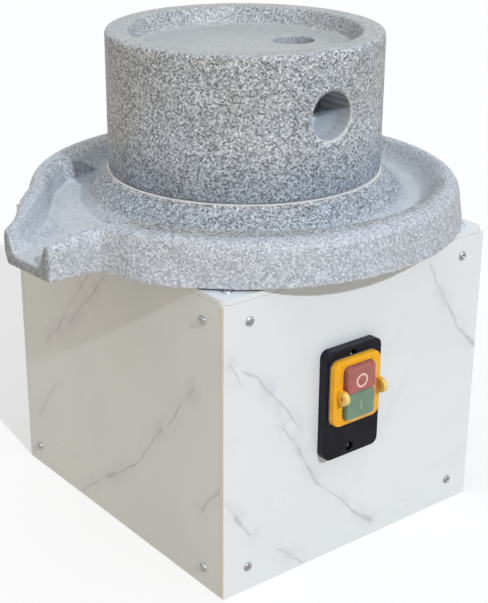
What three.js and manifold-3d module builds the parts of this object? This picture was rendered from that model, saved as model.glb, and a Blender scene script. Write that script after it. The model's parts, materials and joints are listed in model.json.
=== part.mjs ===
// Electric stone mill: a square board-clad cabinet with a gear motor inside, a granite bedstone
// with a flour trough and pouring spout on top of it, and a granite runner turned by the spindle.
// Millimetres, +Z up. The origin is on the mill's axis, at the underside of the cabinet.
// -Y is the switch side and the spout points to -X.
import * as THREE from "three";
import { mergeVertices } from "three/addons/utils/BufferGeometryUtils.js";
import Module from "manifold-3d";

const wasm = await Module();
wasm.setup();

// General values
const GAP = 0.3; // between pieces that touch
const OVERRUN = 3; // how far a cutter runs past the face it opens
const WELD = 1e-4; // vertices closer than this are one
const STONE_STEPS = 64; // facets round a stone
const TURNED_STEPS = 20; // facets round a turned metal part
const SMALL_STEPS = 12; // facets round a small part or hole
const HOLE_STEPS = 6; // facets round a screw hole

// Cabinet boards
const CABINET_WIDTH = 300;
const CABINET_DEPTH = 327;
const CABINET_HEIGHT = 278;
const BOARD = 5; // side boards
const LID = 4.5; // top board, laid over the others
const LID_CORNER = 9; // its rounded corners
const SCREW_HOLE = 2.2; // radius
const FRONT_SCREW_INSET = 26.5; // front board's screws, from its side edges
const FRONT_SCREW_TOP = 23; // below the cabinet's top
const FRONT_SCREW_BOTTOM = 23.5; // above the floor
const SIDE_SCREW_FRONT = 28; // side boards' screws, from the cabinet's front
const SIDE_SCREW_BACK = 20; // from its back
const SIDE_SCREW_TOP = 25;
const SIDE_SCREW_BOTTOM = 19;
const LID_SCREW_INSET = 15; // lid's screws, from every edge
const VENT_COUNT = 7; // cooling slots in the back board
const VENT_WIDTH = 5;
const VENT_LENGTH = 62;
const VENT_PITCH = 14;
const VENT_DEPTH = 90; // slots' centre below the cabinet's top

// Welded steel frame
const POST_WIDTH = 28; // angle section
const POST_WALL = 2.5;
const BASE_PLATE = 2.5;
const DECK = 3; // steel deck under the lid, which carries the stones
const MOTOR_PLATE = 3;
const MOTOR_PLATE_DEPTH = 88; // its top below the cabinet's top
const MOTOR_PLATE_FLANGE = 24;

// Bedstone, with its trough, rim and grinding bed
const PAD = 1; // rubber pads between lid and stone
const PAD_RADIUS = 21;
const PAD_RING = 98; // the pads' distance from the axis
const TRAY_RADIUS = 198; // at the rim
const TRAY_FLARE = 4; // what the wall leans out by towards its foot
const TRAY_HEIGHT = 39.4; // underside to rim
const TRAY_FOOT = 1.2; // chamfer at the foot
const RIM_ROUND = 11; // rim's outer rounding
const TROUGH_RADIUS = 174; // its outer wall, at the rim
const TROUGH_SHIFT = 12; // how far that wall's centre lies off the axis, away from the spout
const TROUGH_DEPTH = 19; // below the rim
const TROUGH_ROUND = 9; // hollow corner at the wall's foot
const TROUGH_LEAN = 20; // what the wall leans out by, up to its lip
const LIP_ROUND = 12;
const BED_RADIUS = 127; // grinding bed
const BED_RISE = 7.3; // above the rim
const BED_ROUND = 2;
const BED_SLOPE = 25; // how far the bed's sloping side runs out to the trough
const EYE_RADIUS = 27; // bedstone's eye

// Spout
const SPOUT_AZIMUTH = 184; // degrees, from +X
const SPOUT_REACH = 243; // axis to the spout's end face
const SPOUT_WIDTH = 66; // outer width at the end
const SPOUT_WALL = 9; // wall at the end
const SPOUT_FLOOR = 10.5; // stone under the channel at the end
const SPOUT_LIP_DEPTH = 8; // how far the wall tops fall from rim to end
const SPOUT_CHAMFER = 7; // under the far side; the near side has a quarter of it
const SPOUT_ROUND = 5; // wall tops' rounding at the end
const SPOUT_LEAN = 4.5; // what each channel wall leans by

// Outer plan of the spout: distance from the axis as a share of the reach, then half widths as
// shares of the end's half width: the near side's foot, its top, and the far side. The near side's
// foot meets a swelling of the tray in a tight hollow, and the far side flares wide into the rim.
const spout_plan_share = [
  [0.576, 3.1, 3.1, 3.64],
  [0.658, 3.76, 3.2, 3.42],
  [0.708, 3.42, 2.8, 3.04],
  [0.749, 2.94, 2.4, 2.76],
  [0.77, 2.6, 2.05, 2.62],
  [0.783, 2.24, 1.78, 2.52],
  [0.792, 1.8, 1.55, 2.45],
  [0.804, 1.42, 1.36, 2.35],
  [0.823, 1.26, 1.26, 2.18],
  [0.855, 1.19, 1.19, 1.92],
  [0.889, 1.15, 1.15, 1.63],
  [0.93, 1.1, 1.1, 1.31],
  [0.971, 1.05, 1.05, 1.09],
  [1, 1, 1, 1],
];
// Channel plan in the same way: half widths at its floor, as shares of the end's half width less
// its wall.
const channel_plan_share = [
  [0.2, 5.1, 5.7],
  [0.35, 4.7, 5.55],
  [0.47, 3.95, 5.2],
  [0.58, 2.95, 4.4],
  [0.638, 2.1, 3.68],
  [0.7, 1.45, 2.96],
  [0.761, 1.19, 2.36],
  [0.823, 1.04, 1.82],
  [0.885, 0.94, 1.31],
  [0.947, 0.85, 0.98],
  [1, 0.77, 0.83],
];

// Runner stone
const GRIND_GAP = 0.3; // between the two grinding faces
const RUNNER_RADIUS = 125;
const RUNNER_HEIGHT = 125;
const RUNNER_ROUND = 4; // upper outer edge
const RUNNER_FOOT = 1.5; // lower edge
const DISH_RIM = 21; // rim round the feed dish
const DISH_DEPTH = 17;
const DISH_LEAN = 3; // what the dish wall leans by
const DISH_ROUND = 6; // hollow corner at the dish floor
const DISH_LIP = 3;
const FEED_RADIUS = 19.5; // feed hole
const FEED_OFFSET = 53; // its distance from the axis
const FEED_AZIMUTH = -4; // degrees
const HANDLE_RADIUS = 21; // blind hole for the lifting bar
const HANDLE_DEPTH = 50;
const HANDLE_RISE = 69.4; // its centre above the grinding face
const HANDLE_AZIMUTH = -92; // degrees
const HANDLE_CHAMFER = 1.5;
const SWALLOW_RADIUS = 78; // the grinding face is relieved inside this
const SWALLOW_DEPTH = 2.5;

// Dressing of both grinding faces
const HARPS = 8; // groups of parallel furrows
const FURROWS_PER_HARP = 3;
const FURROW_WIDTH = 5;
const FURROW_DEPTH = 1.3;
const FURROW_PITCH = 19;
const FURROW_OFFSET = 9; // master furrow's offset from the axis
const FURROW_START = 40; // master furrow's inner end
const LAND_WIDTH = 4; // stone left between a furrow's end and the next master furrow, or the edge

// Spindle, bearing and drive bar
const SPINDLE_RADIUS = 12.5;
const SHAFT_FIT = 0.3; // round the spindle
const BUSH_COLLAR = 4; // height of the eye bush's lower collar
const BUSH_COLLAR_WIDTH = 4;
const HOUSING_FLANGE = 56; // bearing housing's flange radius
const HOUSING_FLANGE_THICK = 8;
const HOUSING_RADIUS = 36;
const HOUSING_HEIGHT = 32;
const BEARING_RADIUS = 26;
const BEARING_HEIGHT = 15;
const DECK_HOLE = 30; // radius
const LID_HOLE = 33;
const PIN_RADIUS = 5; // pins that keep the bedstone from turning
const PIN_HEAD = 9;
const PIN_HEAD_THICK = 7;
const PIN_RING = 76;
const PIN_ENTRY = 14; // how far a pin enters the stone
const BAR_LENGTH = 118;
const BAR_WIDTH = 26;
const BAR_HEIGHT = 10;
const BAR_LIFT = 0.7; // above the grinding bed
const BAR_FIT = 0.6; // round the bar in the runner
const BAR_ROUND = 6; // the bar's corners, in plan
const HUB_RADIUS = 21;
const HUB_RISE = 4; // hub above the bar
const NUT_WIDTH = 24; // across corners
const NUT_HEIGHT = 8;
const NUT_WASHER = 15; // radius
const NUT_WASHER_THICK = 2;
const NUT_ROOM = 4; // above the nut, in the runner

// Gear motor and coupling
const GEARHEAD_WIDTH = 90;
const GEARHEAD_HEIGHT = 56;
const GEARHEAD_CORNER = 12;
const GEARHEAD_OFFSET = 18; // the output shaft stands off the motor's axis by this
const PLATE_BORE = 22; // shaft's hole in the motor plate
const MOTOR_RADIUS = 44;
const MOTOR_CLEARANCE = 21.6; // between the fan cowl and the base plate
const MOTOR_BAND = 12; // plain band at each end
const MOTOR_RIB_DEPTH = 3;
const MOTOR_RIBS = 4;
const COWL_HEIGHT = 22;
const COWL_ROUND = 8;
const SHAFT_RADIUS = 7.5;
const SHAFT_ENTRY = 16; // shaft's length inside the coupling
const COUPLING_RADIUS = 27;
const COUPLING_HUB = 14; // height of each hub
const COUPLING_LIFT = 2; // above the motor plate
const JAW_HEIGHT = 9;
const JAW_COUNT = 3;
const JAW_INNER = 11; // radius inside the jaws
const JAW_HALF_ANGLE = 23; // degrees
const SPIDER_HALF_ANGLE = 5; // degrees

// Switch on the front board
const SWITCH_X = -17.5; // screws, bezel, boot and buttons
const PLATE_X = -15.2;
const PLATE_WIDTH = 63;
const PLATE_HEIGHT = 104;
const PLATE_Z = 155.5; // centre
const PLATE_DEPTH = 10;
const PLATE_CORNER = 7;
const PLATE_BEVEL = 1;
const BEZEL_Z = 169.3; // centre of bezel, boot and buttons
const BEZEL_WIDTH = 54;
const BEZEL_HEIGHT = 61.5;
const BEZEL_CORNER = 8;
const BEZEL_DEPTH = 6;
const BEZEL_BEVEL = 2;
const BEZEL_SIDE = 9.5; // band at each side
const BEZEL_END = 5.2; // band above and below
const BEZEL_WINDOW_CORNER = 5;
const EAR_RADIUS = 6.3;
const EAR_THICK = 4.5;
const EAR_REACH = 12.2; // in front of the bezel
const EAR_HOLE = 2;
const BOOT_WALL = 0.9;
const BOOT_FLANGE = 1;
const BOOT_RISE = 6.4; // in front of the bezel
const BOOT_SIDE_FIT = 0.35; // boot to bezel, boot to buttons
const BUTTON_TRAVEL = 3;
const BUTTON_SPLIT = 1; // between the two buttons
const BUTTON_CORNER = 3;
const BUTTON_BEVEL = 1;
const BUTTON_TOP_FIT = 0.6; // boot to the buttons' faces
const BUTTON_DEPTH = 12;
const MODULE_DEPTH = 44; // contact module behind the board
const MODULE_STEP = 2.5; // its shoulder round the window
const MODULE_ROOM = 5; // round the module in the motor plate
const SWITCH_SCREW_PITCH = 89.5;
const SWITCH_SCREW_RADIUS = 4;
const SWITCH_SCREW_SINK = 3; // counterbore depth
const SWITCH_SCREW_HEAD = 2;
const SWITCH_SCREW_SHANK = 1.9;

// Electrical parts on the base plate and the cable inlet
const CAPACITOR_RADIUS = 20;
const CAPACITOR_HEIGHT = 70;
const CAPACITOR_SIDE = 52; // its centre from the cabinet's left side
const CAPACITOR_BACK = 71.5; // and from its back
const CLIP_WALL = 1.5;
const CLIP_HEIGHT = 14;
const CLIP_FOOT = 26;
const TERMINAL_LENGTH = 64;
const TERMINAL_WIDTH = 22;
const TERMINAL_HEIGHT = 18;
const TERMINAL_SIDE = 52; // its centre from the cabinet's left side
const TERMINAL_Y = 8;
const TERMINAL_WAYS = 5;
const TERMINAL_SCREW = 2.6;
const TERMINAL_SCREW_DEPTH = 5;
const GLAND_SIDE = 50; // from the cabinet's left side
const GLAND_Z = 42;
const GLAND_BORE = 4;
const GLAND_THREAD = 8;
const GLAND_BODY = 11.5;
const GLAND_LENGTH = 19; // outside the back board
const GLAND_HEX = 6;
const GLAND_NUT = 5;
const CABLE_RADIUS = 3.2;
const CABLE_LEAD = 52; // how far a cable's ends pull it straight

// Heights that follow from the sizes above
const LID_BOTTOM = CABINET_HEIGHT - LID;
const BOARD_TOP = LID_BOTTOM - GAP;
const DECK_TOP = LID_BOTTOM - GAP;
const DECK_BOTTOM = DECK_TOP - DECK;
const TRAY_BOTTOM = CABINET_HEIGHT + PAD + 2 * GAP;
const RIM_TOP = TRAY_BOTTOM + TRAY_HEIGHT;
const TROUGH_FLOOR = RIM_TOP - TROUGH_DEPTH;
const BED_TOP = RIM_TOP + BED_RISE;
const RUNNER_BOTTOM = BED_TOP + GRIND_GAP;
const RUNNER_TOP = RUNNER_BOTTOM + RUNNER_HEIGHT;
const DISH_FLOOR = RUNNER_TOP - DISH_DEPTH;
const MOTOR_PLATE_TOP = CABINET_HEIGHT - MOTOR_PLATE_DEPTH;
const HALF_W = CABINET_WIDTH / 2;
const HALF_D = CABINET_DEPTH / 2;
const INNER_X = HALF_W - BOARD; // inner faces of the boards
const INNER_Y = HALF_D - BOARD;
const GLAND_X = GLAND_SIDE - HALF_W;
const TERMINAL_X = TERMINAL_SIDE - HALF_W;
const CAPACITOR_X = CAPACITOR_SIDE - HALF_W;
const CAPACITOR_Y = HALF_D - CAPACITOR_BACK;

const radians = THREE.MathUtils.degToRad;

// A geometry as a solid, with its faces turned outwards
function solidOf(geometry) {
  const bare = geometry.clone();
  for (const name of ["normal", "uv"]) bare.deleteAttribute(name);
  const welded = mergeVertices(bare, WELD);
  const triVerts = new Uint32Array(welded.index.array);
  const vertProperties = welded.attributes.position.array;
  const made = new wasm.Manifold(new wasm.Mesh({ numProp: 3, vertProperties, triVerts }));
  if (made.volume() > 0) return made;
  for (let i = 0; i < triVerts.length; i += 3)
    [triVerts[i], triVerts[i + 1]] = [triVerts[i + 1], triVerts[i]];
  return new wasm.Manifold(new wasm.Mesh({ numProp: 3, vertProperties, triVerts }));
}

// A solid as a geometry that a mesh can hold
function geometryOf(solid) {
  const { vertProperties, triVerts } = solid.getMesh();
  const geometry = new THREE.BufferGeometry();
  geometry.setAttribute("position", new THREE.BufferAttribute(vertProperties, 3));
  geometry.setIndex(new THREE.BufferAttribute(triVerts, 1));
  geometry.computeVertexNormals();
  return geometry;
}

const cut = (solid, ...cutters) => cutters.reduce((rest, cutter) => rest.subtract(cutter), solid);
const join = (solid, ...others) => others.reduce((sum, other) => sum.add(other), solid);

// A box between two corners
function box([x0, y0, z0], [x1, y1, z1]) {
  const geometry = new THREE.BoxGeometry(x1 - x0, y1 - y0, z1 - z0);
  return solidOf(geometry.translate((x0 + x1) / 2, (y0 + y1) / 2, (z0 + z1) / 2));
}

// A profile of [radius, height] points turned about +Z
function turned(profile, steps = TURNED_STEPS) {
  const points = profile.map(([r, z]) => new THREE.Vector2(r, z));
  return solidOf(new THREE.LatheGeometry(points, steps).rotateX(Math.PI / 2));
}

// A cylinder on +Z, and a ring whose profile closes on itself
const rod = (radius, z0, z1, steps = TURNED_STEPS) =>
  turned([[0, z0], [radius, z0], [radius, z1], [0, z1]], steps);
const ring = (inner, outer, z0, z1, steps = TURNED_STEPS) =>
  turned([[inner, z0], [outer, z0], [outer, z1], [inner, z1], [inner, z0]], steps);

// The same rod lying along -Y, from y1 towards y0
function rodAlongY(radius, [x, z], y0, y1, steps = SMALL_STEPS) {
  return rod(radius, -y1, -y0, steps).rotate([90, 0, 0]).translate([x, 0, z]);
}

// Points of an arc about [r, z], from one angle to another in degrees
function arc([r, z], radius, from, to, steps) {
  return Array.from({ length: steps + 1 }, (_, i) => {
    const angle = radians(from + ((to - from) * i) / steps);
    return [r + radius * Math.cos(angle), z + radius * Math.sin(angle)];
  });
}

// A rectangle with rounded corners, centred on zero
function roundedRectangle(width, height, corner) {
  const [w, h] = [width / 2 - corner, height / 2 - corner];
  const shape = new THREE.Shape();
  shape.absarc(w, h, corner, 0, Math.PI / 2);
  shape.absarc(-w, h, corner, Math.PI / 2, Math.PI);
  shape.absarc(-w, -h, corner, Math.PI, Math.PI * 1.5);
  shape.absarc(w, -h, corner, Math.PI * 1.5, Math.PI * 2);
  return shape;
}

// A shape pushed up +Z between two heights
function prism(shape, z0, z1, curveSegments = 2) {
  const geometry = new THREE.ExtrudeGeometry(shape, { depth: z1 - z0, bevelEnabled: false, curveSegments });
  return solidOf(geometry.translate(0, 0, z0));
}

// The same prism facing -Y: its shape lies in X and Z, its low end at y1 and its high end at y0
const prismFacing = (shape, [x, z], y0, y1, curveSegments) =>
  prism(shape, -y1, -y0, curveSegments).rotate([90, 0, 0]).translate([x, 0, z]);

// A rounded rectangle facing -Y whose front edge is bevelled
function bevelledFacing([width, height, corner, bevel], [x, z], front, back) {
  const body = prismFacing(roundedRectangle(width, height, corner), [x, z], front + bevel, back);
  const top = new THREE.ExtrudeGeometry(
    roundedRectangle(width - 2 * bevel, height - 2 * bevel, corner - bevel),
    { depth: bevel, bevelThickness: bevel, bevelSize: bevel, bevelSegments: 2, curveSegments: 2 },
  );
  const cap = solidOf(top.translate(0, 0, -bevel)).rotate([90, 0, 0]);
  return join(body, cap.translate([x, front + bevel, z]));
}

// A skin through sections of equal length, each a list of [x, y, z], closed at both ends
function loft(sections) {
  const count = sections[0].length;
  const index = [];
  for (let s = 0; s + 1 < sections.length; s++)
    for (let i = 0; i < count; i++) {
      const [a, b] = [s * count + i, s * count + ((i + 1) % count)];
      index.push(a, b, b + count, a, b + count, a + count);
    }
  const last = (sections.length - 1) * count;
  for (let i = 1; i + 1 < count; i++) index.push(0, i + 1, i, last, last + i, last + i + 1);
  const geometry = new THREE.BufferGeometry();
  geometry.setAttribute("position", new THREE.Float32BufferAttribute(sections.flat(2), 3));
  geometry.setIndex(index);
  return solidOf(geometry);
}

// Cabinet boards
const cabinet = new THREE.Group();
const spindleGroup = new THREE.Group();
const runnerGroup = new THREE.Group();
const stopGroup = new THREE.Group();
const startGroup = new THREE.Group();

const marble = new THREE.MeshStandardMaterial({ color: 0xe4e7ea, roughness: 0.35, metalness: 0 });
const steel = new THREE.MeshStandardMaterial({ color: 0x9a9ea3, roughness: 0.4, metalness: 0.9 });
const zinc = new THREE.MeshStandardMaterial({ color: 0xb9bdc2, roughness: 0.3, metalness: 1 });
const frameSteel = new THREE.MeshStandardMaterial({ color: 0x3b4046, roughness: 0.6, metalness: 0.5 });
const granite = new THREE.MeshStandardMaterial({ color: 0xb0b2b6, roughness: 0.55, metalness: 0 });
const rubber = new THREE.MeshStandardMaterial({ color: 0x1c1c1e, roughness: 0.85, metalness: 0 });
const castAlloy = new THREE.MeshStandardMaterial({ color: 0xa7abb0, roughness: 0.5, metalness: 0.8 });
const motorPaint = new THREE.MeshStandardMaterial({ color: 0x2b2d30, roughness: 0.5, metalness: 0.3 });
const nylon = new THREE.MeshStandardMaterial({ color: 0xe9e4d6, roughness: 0.5, metalness: 0 });
const blackPlastic = new THREE.MeshStandardMaterial({ color: 0x1e202d, roughness: 0.4, metalness: 0 });
const yellowPlastic = new THREE.MeshStandardMaterial({ color: 0xf5b428, roughness: 0.35, metalness: 0 });
const clearSilicone = new THREE.MeshStandardMaterial({
  color: 0xf0f0ea, roughness: 0.3, metalness: 0, transparent: true, opacity: 0.35,
});
const redPlastic = new THREE.MeshStandardMaterial({ color: 0xc03a3a, roughness: 0.4, metalness: 0 });
const greenPlastic = new THREE.MeshStandardMaterial({ color: 0x3f9a6a, roughness: 0.4, metalness: 0 });
const greyPlastic = new THREE.MeshStandardMaterial({ color: 0xd7d7d2, roughness: 0.5, metalness: 0 });

function place(name, solid, material, group = cabinet) {
  const mesh = new THREE.Mesh(geometryOf(solid), material.clone());
  mesh.name = name;
  group.add(mesh);
  return mesh;
}

const plateFront = -HALF_D - GAP - PLATE_DEPTH;
const plateBack = -HALF_D - GAP;
const moduleBack = plateBack + MODULE_DEPTH;
const moduleWidth = BEZEL_WIDTH - 2 * BEZEL_SIDE + 2 * MODULE_STEP;
const moduleHeight = BEZEL_HEIGHT - 2 * BEZEL_END + 2 * MODULE_STEP;
const frontScrewHeights = [FRONT_SCREW_BOTTOM, CABINET_HEIGHT - FRONT_SCREW_TOP];
const sideScrewHeights = [SIDE_SCREW_BOTTOM, CABINET_HEIGHT - SIDE_SCREW_TOP];
const switchScrewHeights = [PLATE_Z + SWITCH_SCREW_PITCH / 2, PLATE_Z - SWITCH_SCREW_PITCH / 2];

// A full-width board, at the front or the back, with its four screw holes
function endBoard(y0, y1) {
  const board = box([-HALF_W, y0, 0], [HALF_W, y1, BOARD_TOP]);
  const holes = frontScrewHeights.flatMap((z) =>
    [-1, 1].map((side) =>
      rodAlongY(SCREW_HOLE, [side * (HALF_W - FRONT_SCREW_INSET), z], y0 - OVERRUN, y1 + OVERRUN, HOLE_STEPS),
    ),
  );
  return cut(board, ...holes);
}

const moduleOpening = prismFacing(
  roundedRectangle(moduleWidth + 2 * GAP, moduleHeight + 2 * GAP, BEZEL_WINDOW_CORNER),
  [SWITCH_X, BEZEL_Z], -HALF_D - OVERRUN, -INNER_Y + OVERRUN,
);
const plateScrewHoles = switchScrewHeights.map((z) =>
  rodAlongY(SWITCH_SCREW_SHANK + GAP, [SWITCH_X, z], -HALF_D - OVERRUN, -INNER_Y + OVERRUN),
);
place("front_panel", cut(endBoard(-HALF_D, -INNER_Y), moduleOpening, ...plateScrewHoles), marble);

const glandHole = rodAlongY(GLAND_THREAD + GAP, [GLAND_X, GLAND_Z], INNER_Y - OVERRUN, HALF_D + OVERRUN);
const vents = Array.from({ length: VENT_COUNT }, (_, i) =>
  prismFacing(
    roundedRectangle(VENT_WIDTH, VENT_LENGTH, VENT_WIDTH / 2),
    [(i - (VENT_COUNT - 1) / 2) * VENT_PITCH, CABINET_HEIGHT - VENT_DEPTH],
    INNER_Y - OVERRUN, HALF_D + OVERRUN, 1,
  ),
);
place("back_panel", cut(endBoard(INNER_Y, HALF_D), glandHole, ...vents), marble);

// Side boards stand between the front and back boards
for (const [name, side] of [["left_panel", -1], ["right_panel", 1]]) {
  const [x0, x1] = [side * HALF_W, side * INNER_X].sort((a, b) => a - b);
  const board = box([x0, -INNER_Y + GAP, 0], [x1, INNER_Y - GAP, BOARD_TOP]);
  const holes = sideScrewHeights.flatMap((z) =>
    [-HALF_D + SIDE_SCREW_FRONT, HALF_D - SIDE_SCREW_BACK].map((y) =>
      rod(SCREW_HOLE, x0 - OVERRUN, x1 + OVERRUN, HOLE_STEPS).rotate([0, 90, 0]).translate([0, y, z]),
    ),
  );
  place(name, cut(board, ...holes), marble);
}

const pinPlaces = [-1, 1].map((side) => [0, side * PIN_RING]);
const lidScrewPlaces = [-1, 1].flatMap((sx) =>
  [-1, 1].map((sy) => [sx * (HALF_W - LID_SCREW_INSET), sy * (HALF_D - LID_SCREW_INSET)]),
);
// Upright holes through a plate
const drill = (places, radius, z0, z1, steps) =>
  places.map(([x, y]) => rod(radius, z0 - OVERRUN, z1 + OVERRUN, steps).translate([x, y, 0]));

const lid = prism(roundedRectangle(CABINET_WIDTH, CABINET_DEPTH, LID_CORNER), LID_BOTTOM, CABINET_HEIGHT);
place(
  "lid_panel",
  cut(
    lid,
    ...drill([[0, 0]], LID_HOLE, LID_BOTTOM, CABINET_HEIGHT, TURNED_STEPS),
    ...drill(pinPlaces, PIN_RADIUS + GAP, LID_BOTTOM, CABINET_HEIGHT, SMALL_STEPS),
    ...drill(lidScrewPlaces, SCREW_HOLE, LID_BOTTOM, CABINET_HEIGHT, HOLE_STEPS),
  ),
  marble,
);

// Welded steel frame: base plate, four angle posts and the deck
const frameX = INNER_X - GAP;
const frameY = INNER_Y - GAP;
place("base_plate", box([-frameX, -frameY, 0], [frameX, frameY, BASE_PLATE]), frameSteel);
for (const [end, sy] of [["front", -1], ["back", 1]])
  for (const [hand, sx] of [["left", -1], ["right", 1]]) {
    const angle = new THREE.Shape([
      [0, 0], [POST_WIDTH, 0], [POST_WIDTH, POST_WALL],
      [POST_WALL, POST_WALL], [POST_WALL, POST_WIDTH], [0, POST_WIDTH],
    ].map(([x, y]) => new THREE.Vector2(-sx * x, -sy * y)));
    const post = prism(angle, BASE_PLATE + GAP, DECK_BOTTOM - GAP).translate([sx * frameX, sy * frameY, 0]);
    place(`post_${end}_${hand}`, post, frameSteel);
  }
place(
  "deck_plate",
  cut(
    box([-frameX, -frameY, DECK_BOTTOM], [frameX, frameY, DECK_TOP]),
    ...drill([[0, 0]], DECK_HOLE, DECK_BOTTOM, DECK_TOP, TURNED_STEPS),
    ...drill(pinPlaces, PIN_RADIUS + GAP, DECK_BOTTOM, DECK_TOP, SMALL_STEPS),
  ),
  frameSteel,
);

// Motor plate, with a flange down each side against the posts and a notch for the switch
const plateX = frameX - POST_WALL - GAP;
const plateY = frameY - POST_WALL - GAP;
const motorPlateBottom = MOTOR_PLATE_TOP - MOTOR_PLATE;
const flanges = [-1, 1].map((side) => {
  const [x0, x1] = [side * plateX, side * (plateX - MOTOR_PLATE)].sort((a, b) => a - b);
  return box([x0, -plateY, MOTOR_PLATE_TOP - MOTOR_PLATE_FLANGE], [x1, plateY, MOTOR_PLATE_TOP]);
});
place(
  "motor_plate",
  cut(
    join(box([-plateX, -plateY, motorPlateBottom], [plateX, plateY, MOTOR_PLATE_TOP]), ...flanges),
    ...drill([[0, 0]], PLATE_BORE, motorPlateBottom, MOTOR_PLATE_TOP, TURNED_STEPS),
    box(
      [SWITCH_X - moduleWidth / 2 - MODULE_ROOM, -plateY - OVERRUN, motorPlateBottom - OVERRUN],
      [SWITCH_X + moduleWidth / 2 + MODULE_ROOM, moduleBack + MODULE_ROOM, MOTOR_PLATE_TOP + OVERRUN],
    ),
  ),
  frameSteel,
);

// Gear motor hanging under its plate, offset so that its output shaft stands on the mill's axis
const gearTop = motorPlateBottom - GAP;
const gearBottom = gearTop - GEARHEAD_HEIGHT;
const shaftBore = rod(SHAFT_RADIUS + SHAFT_FIT, gearTop - SHAFT_ENTRY, gearTop + OVERRUN);
const gearhead = prism(
  roundedRectangle(GEARHEAD_WIDTH, GEARHEAD_WIDTH, GEARHEAD_CORNER), gearBottom, gearTop,
);
place("gearhead", cut(gearhead.translate([GEARHEAD_OFFSET, 0, 0]), shaftBore), castAlloy);

const motorTop = gearBottom - GAP;
const cowlBottom = BASE_PLATE + MOTOR_CLEARANCE;
const cowlTop = cowlBottom + COWL_HEIGHT;
const motorBottom = cowlTop + GAP;
const ribStep = (motorTop - motorBottom - 2 * MOTOR_BAND) / MOTOR_RIBS;
const ribs = Array.from({ length: MOTOR_RIBS }, (_, i) => {
  const z = motorBottom + MOTOR_BAND + i * ribStep;
  const inner = MOTOR_RADIUS - MOTOR_RIB_DEPTH;
  return [
    [MOTOR_RADIUS, z], [inner, z + ribStep / 8],
    [inner, z + ribStep / 2], [MOTOR_RADIUS, z + (ribStep * 5) / 8],
  ];
}).flat();
const motor = turned([
  [0, motorBottom], [MOTOR_RADIUS, motorBottom], ...ribs, [MOTOR_RADIUS, motorTop], [0, motorTop],
]);
place("motor_body", motor.translate([GEARHEAD_OFFSET, 0, 0]), motorPaint);
const cowl = turned([
  [0, cowlBottom],
  ...arc([MOTOR_RADIUS - COWL_ROUND, cowlBottom + COWL_ROUND], COWL_ROUND, -90, 0, 2),
  [MOTOR_RADIUS, cowlTop],
  [0, cowlTop],
]);
place("fan_cowl", cowl.translate([GEARHEAD_OFFSET, 0, 0]), blackPlastic);

// Jaw coupling between output shaft and spindle
const hubBottom = MOTOR_PLATE_TOP + COUPLING_LIFT;
const jawBottom = hubBottom + COUPLING_HUB;
const jawTop = jawBottom + JAW_HEIGHT;
const upperHubBottom = jawTop + GAP;
const upperHubTop = upperHubBottom + COUPLING_HUB;
// A sector of a ring, about a direction in degrees
function sector(inner, outer, direction, halfAngle, z0, z1) {
  const [from, to] = [radians(direction - halfAngle), radians(direction + halfAngle)];
  const shape = new THREE.Shape();
  shape.absarc(0, 0, outer, from, to);
  shape.absarc(0, 0, inner, to, from, true);
  return prism(shape, z0, z1, 1);
}
const jaws = (offset, z0, z1) =>
  Array.from({ length: JAW_COUNT }, (_, i) =>
    sector(JAW_INNER, COUPLING_RADIUS, offset + (360 * i) / JAW_COUNT, JAW_HALF_ANGLE, z0, z1),
  );
const jawTurn = 180 / JAW_COUNT;
place(
  "output_shaft",
  rod(SHAFT_RADIUS, gearTop - SHAFT_ENTRY + GAP, hubBottom + SHAFT_ENTRY - COUPLING_LIFT),
  steel,
  spindleGroup,
);
place(
  "coupling_lower",
  cut(
    join(rod(COUPLING_RADIUS, hubBottom, jawBottom), ...jaws(0, jawBottom - WELD, jawTop - GAP)),
    rod(SHAFT_RADIUS + SHAFT_FIT, hubBottom - OVERRUN, hubBottom + SHAFT_ENTRY - COUPLING_LIFT + GAP),
  ),
  castAlloy,
  spindleGroup,
);
const spiderArms = Array.from({ length: 2 * JAW_COUNT }, (_, i) =>
  sector(
    JAW_INNER / 2, COUPLING_RADIUS, jawTurn / 2 + i * jawTurn, SPIDER_HALF_ANGLE,
    jawBottom + GAP, jawTop - GAP,
  ),
);
place(
  "coupling_spider",
  join(rod(JAW_INNER - GAP, jawBottom + GAP, jawTop - GAP), ...spiderArms),
  rubber,
  spindleGroup,
);
place(
  "coupling_upper",
  cut(
    join(
      rod(COUPLING_RADIUS, upperHubBottom, upperHubTop),
      ...jaws(jawTurn, jawBottom + GAP, upperHubBottom + WELD),
    ),
    rod(SPINDLE_RADIUS + SHAFT_FIT, upperHubBottom + GAP * 5, upperHubTop + OVERRUN),
  ),
  castAlloy,
  spindleGroup,
);

// Bearing housing under the deck, with the ball bearing in it
const housingTop = DECK_BOTTOM - GAP;
const housingBottom = housingTop - HOUSING_HEIGHT;
const seatBottom = housingTop - BEARING_HEIGHT - 2 * GAP;
place(
  "bearing_housing",
  turned([
    [SPINDLE_RADIUS + 2 * SHAFT_FIT, housingBottom],
    [HOUSING_RADIUS - TRAY_FOOT, housingBottom],
    [HOUSING_RADIUS, housingBottom + TRAY_FOOT],
    [HOUSING_RADIUS, housingTop - HOUSING_FLANGE_THICK],
    [HOUSING_FLANGE, housingTop - HOUSING_FLANGE_THICK],
    [HOUSING_FLANGE, housingTop],
    [BEARING_RADIUS + GAP, housingTop],
    [BEARING_RADIUS + GAP, seatBottom],
    [SPINDLE_RADIUS + 2 * SHAFT_FIT, seatBottom],
    [SPINDLE_RADIUS + 2 * SHAFT_FIT, housingBottom],
  ]),
  castAlloy,
);
place(
  "spindle_bearing",
  ring(SPINDLE_RADIUS + SHAFT_FIT, BEARING_RADIUS, seatBottom + GAP, seatBottom + GAP + BEARING_HEIGHT),
  steel,
);

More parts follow.
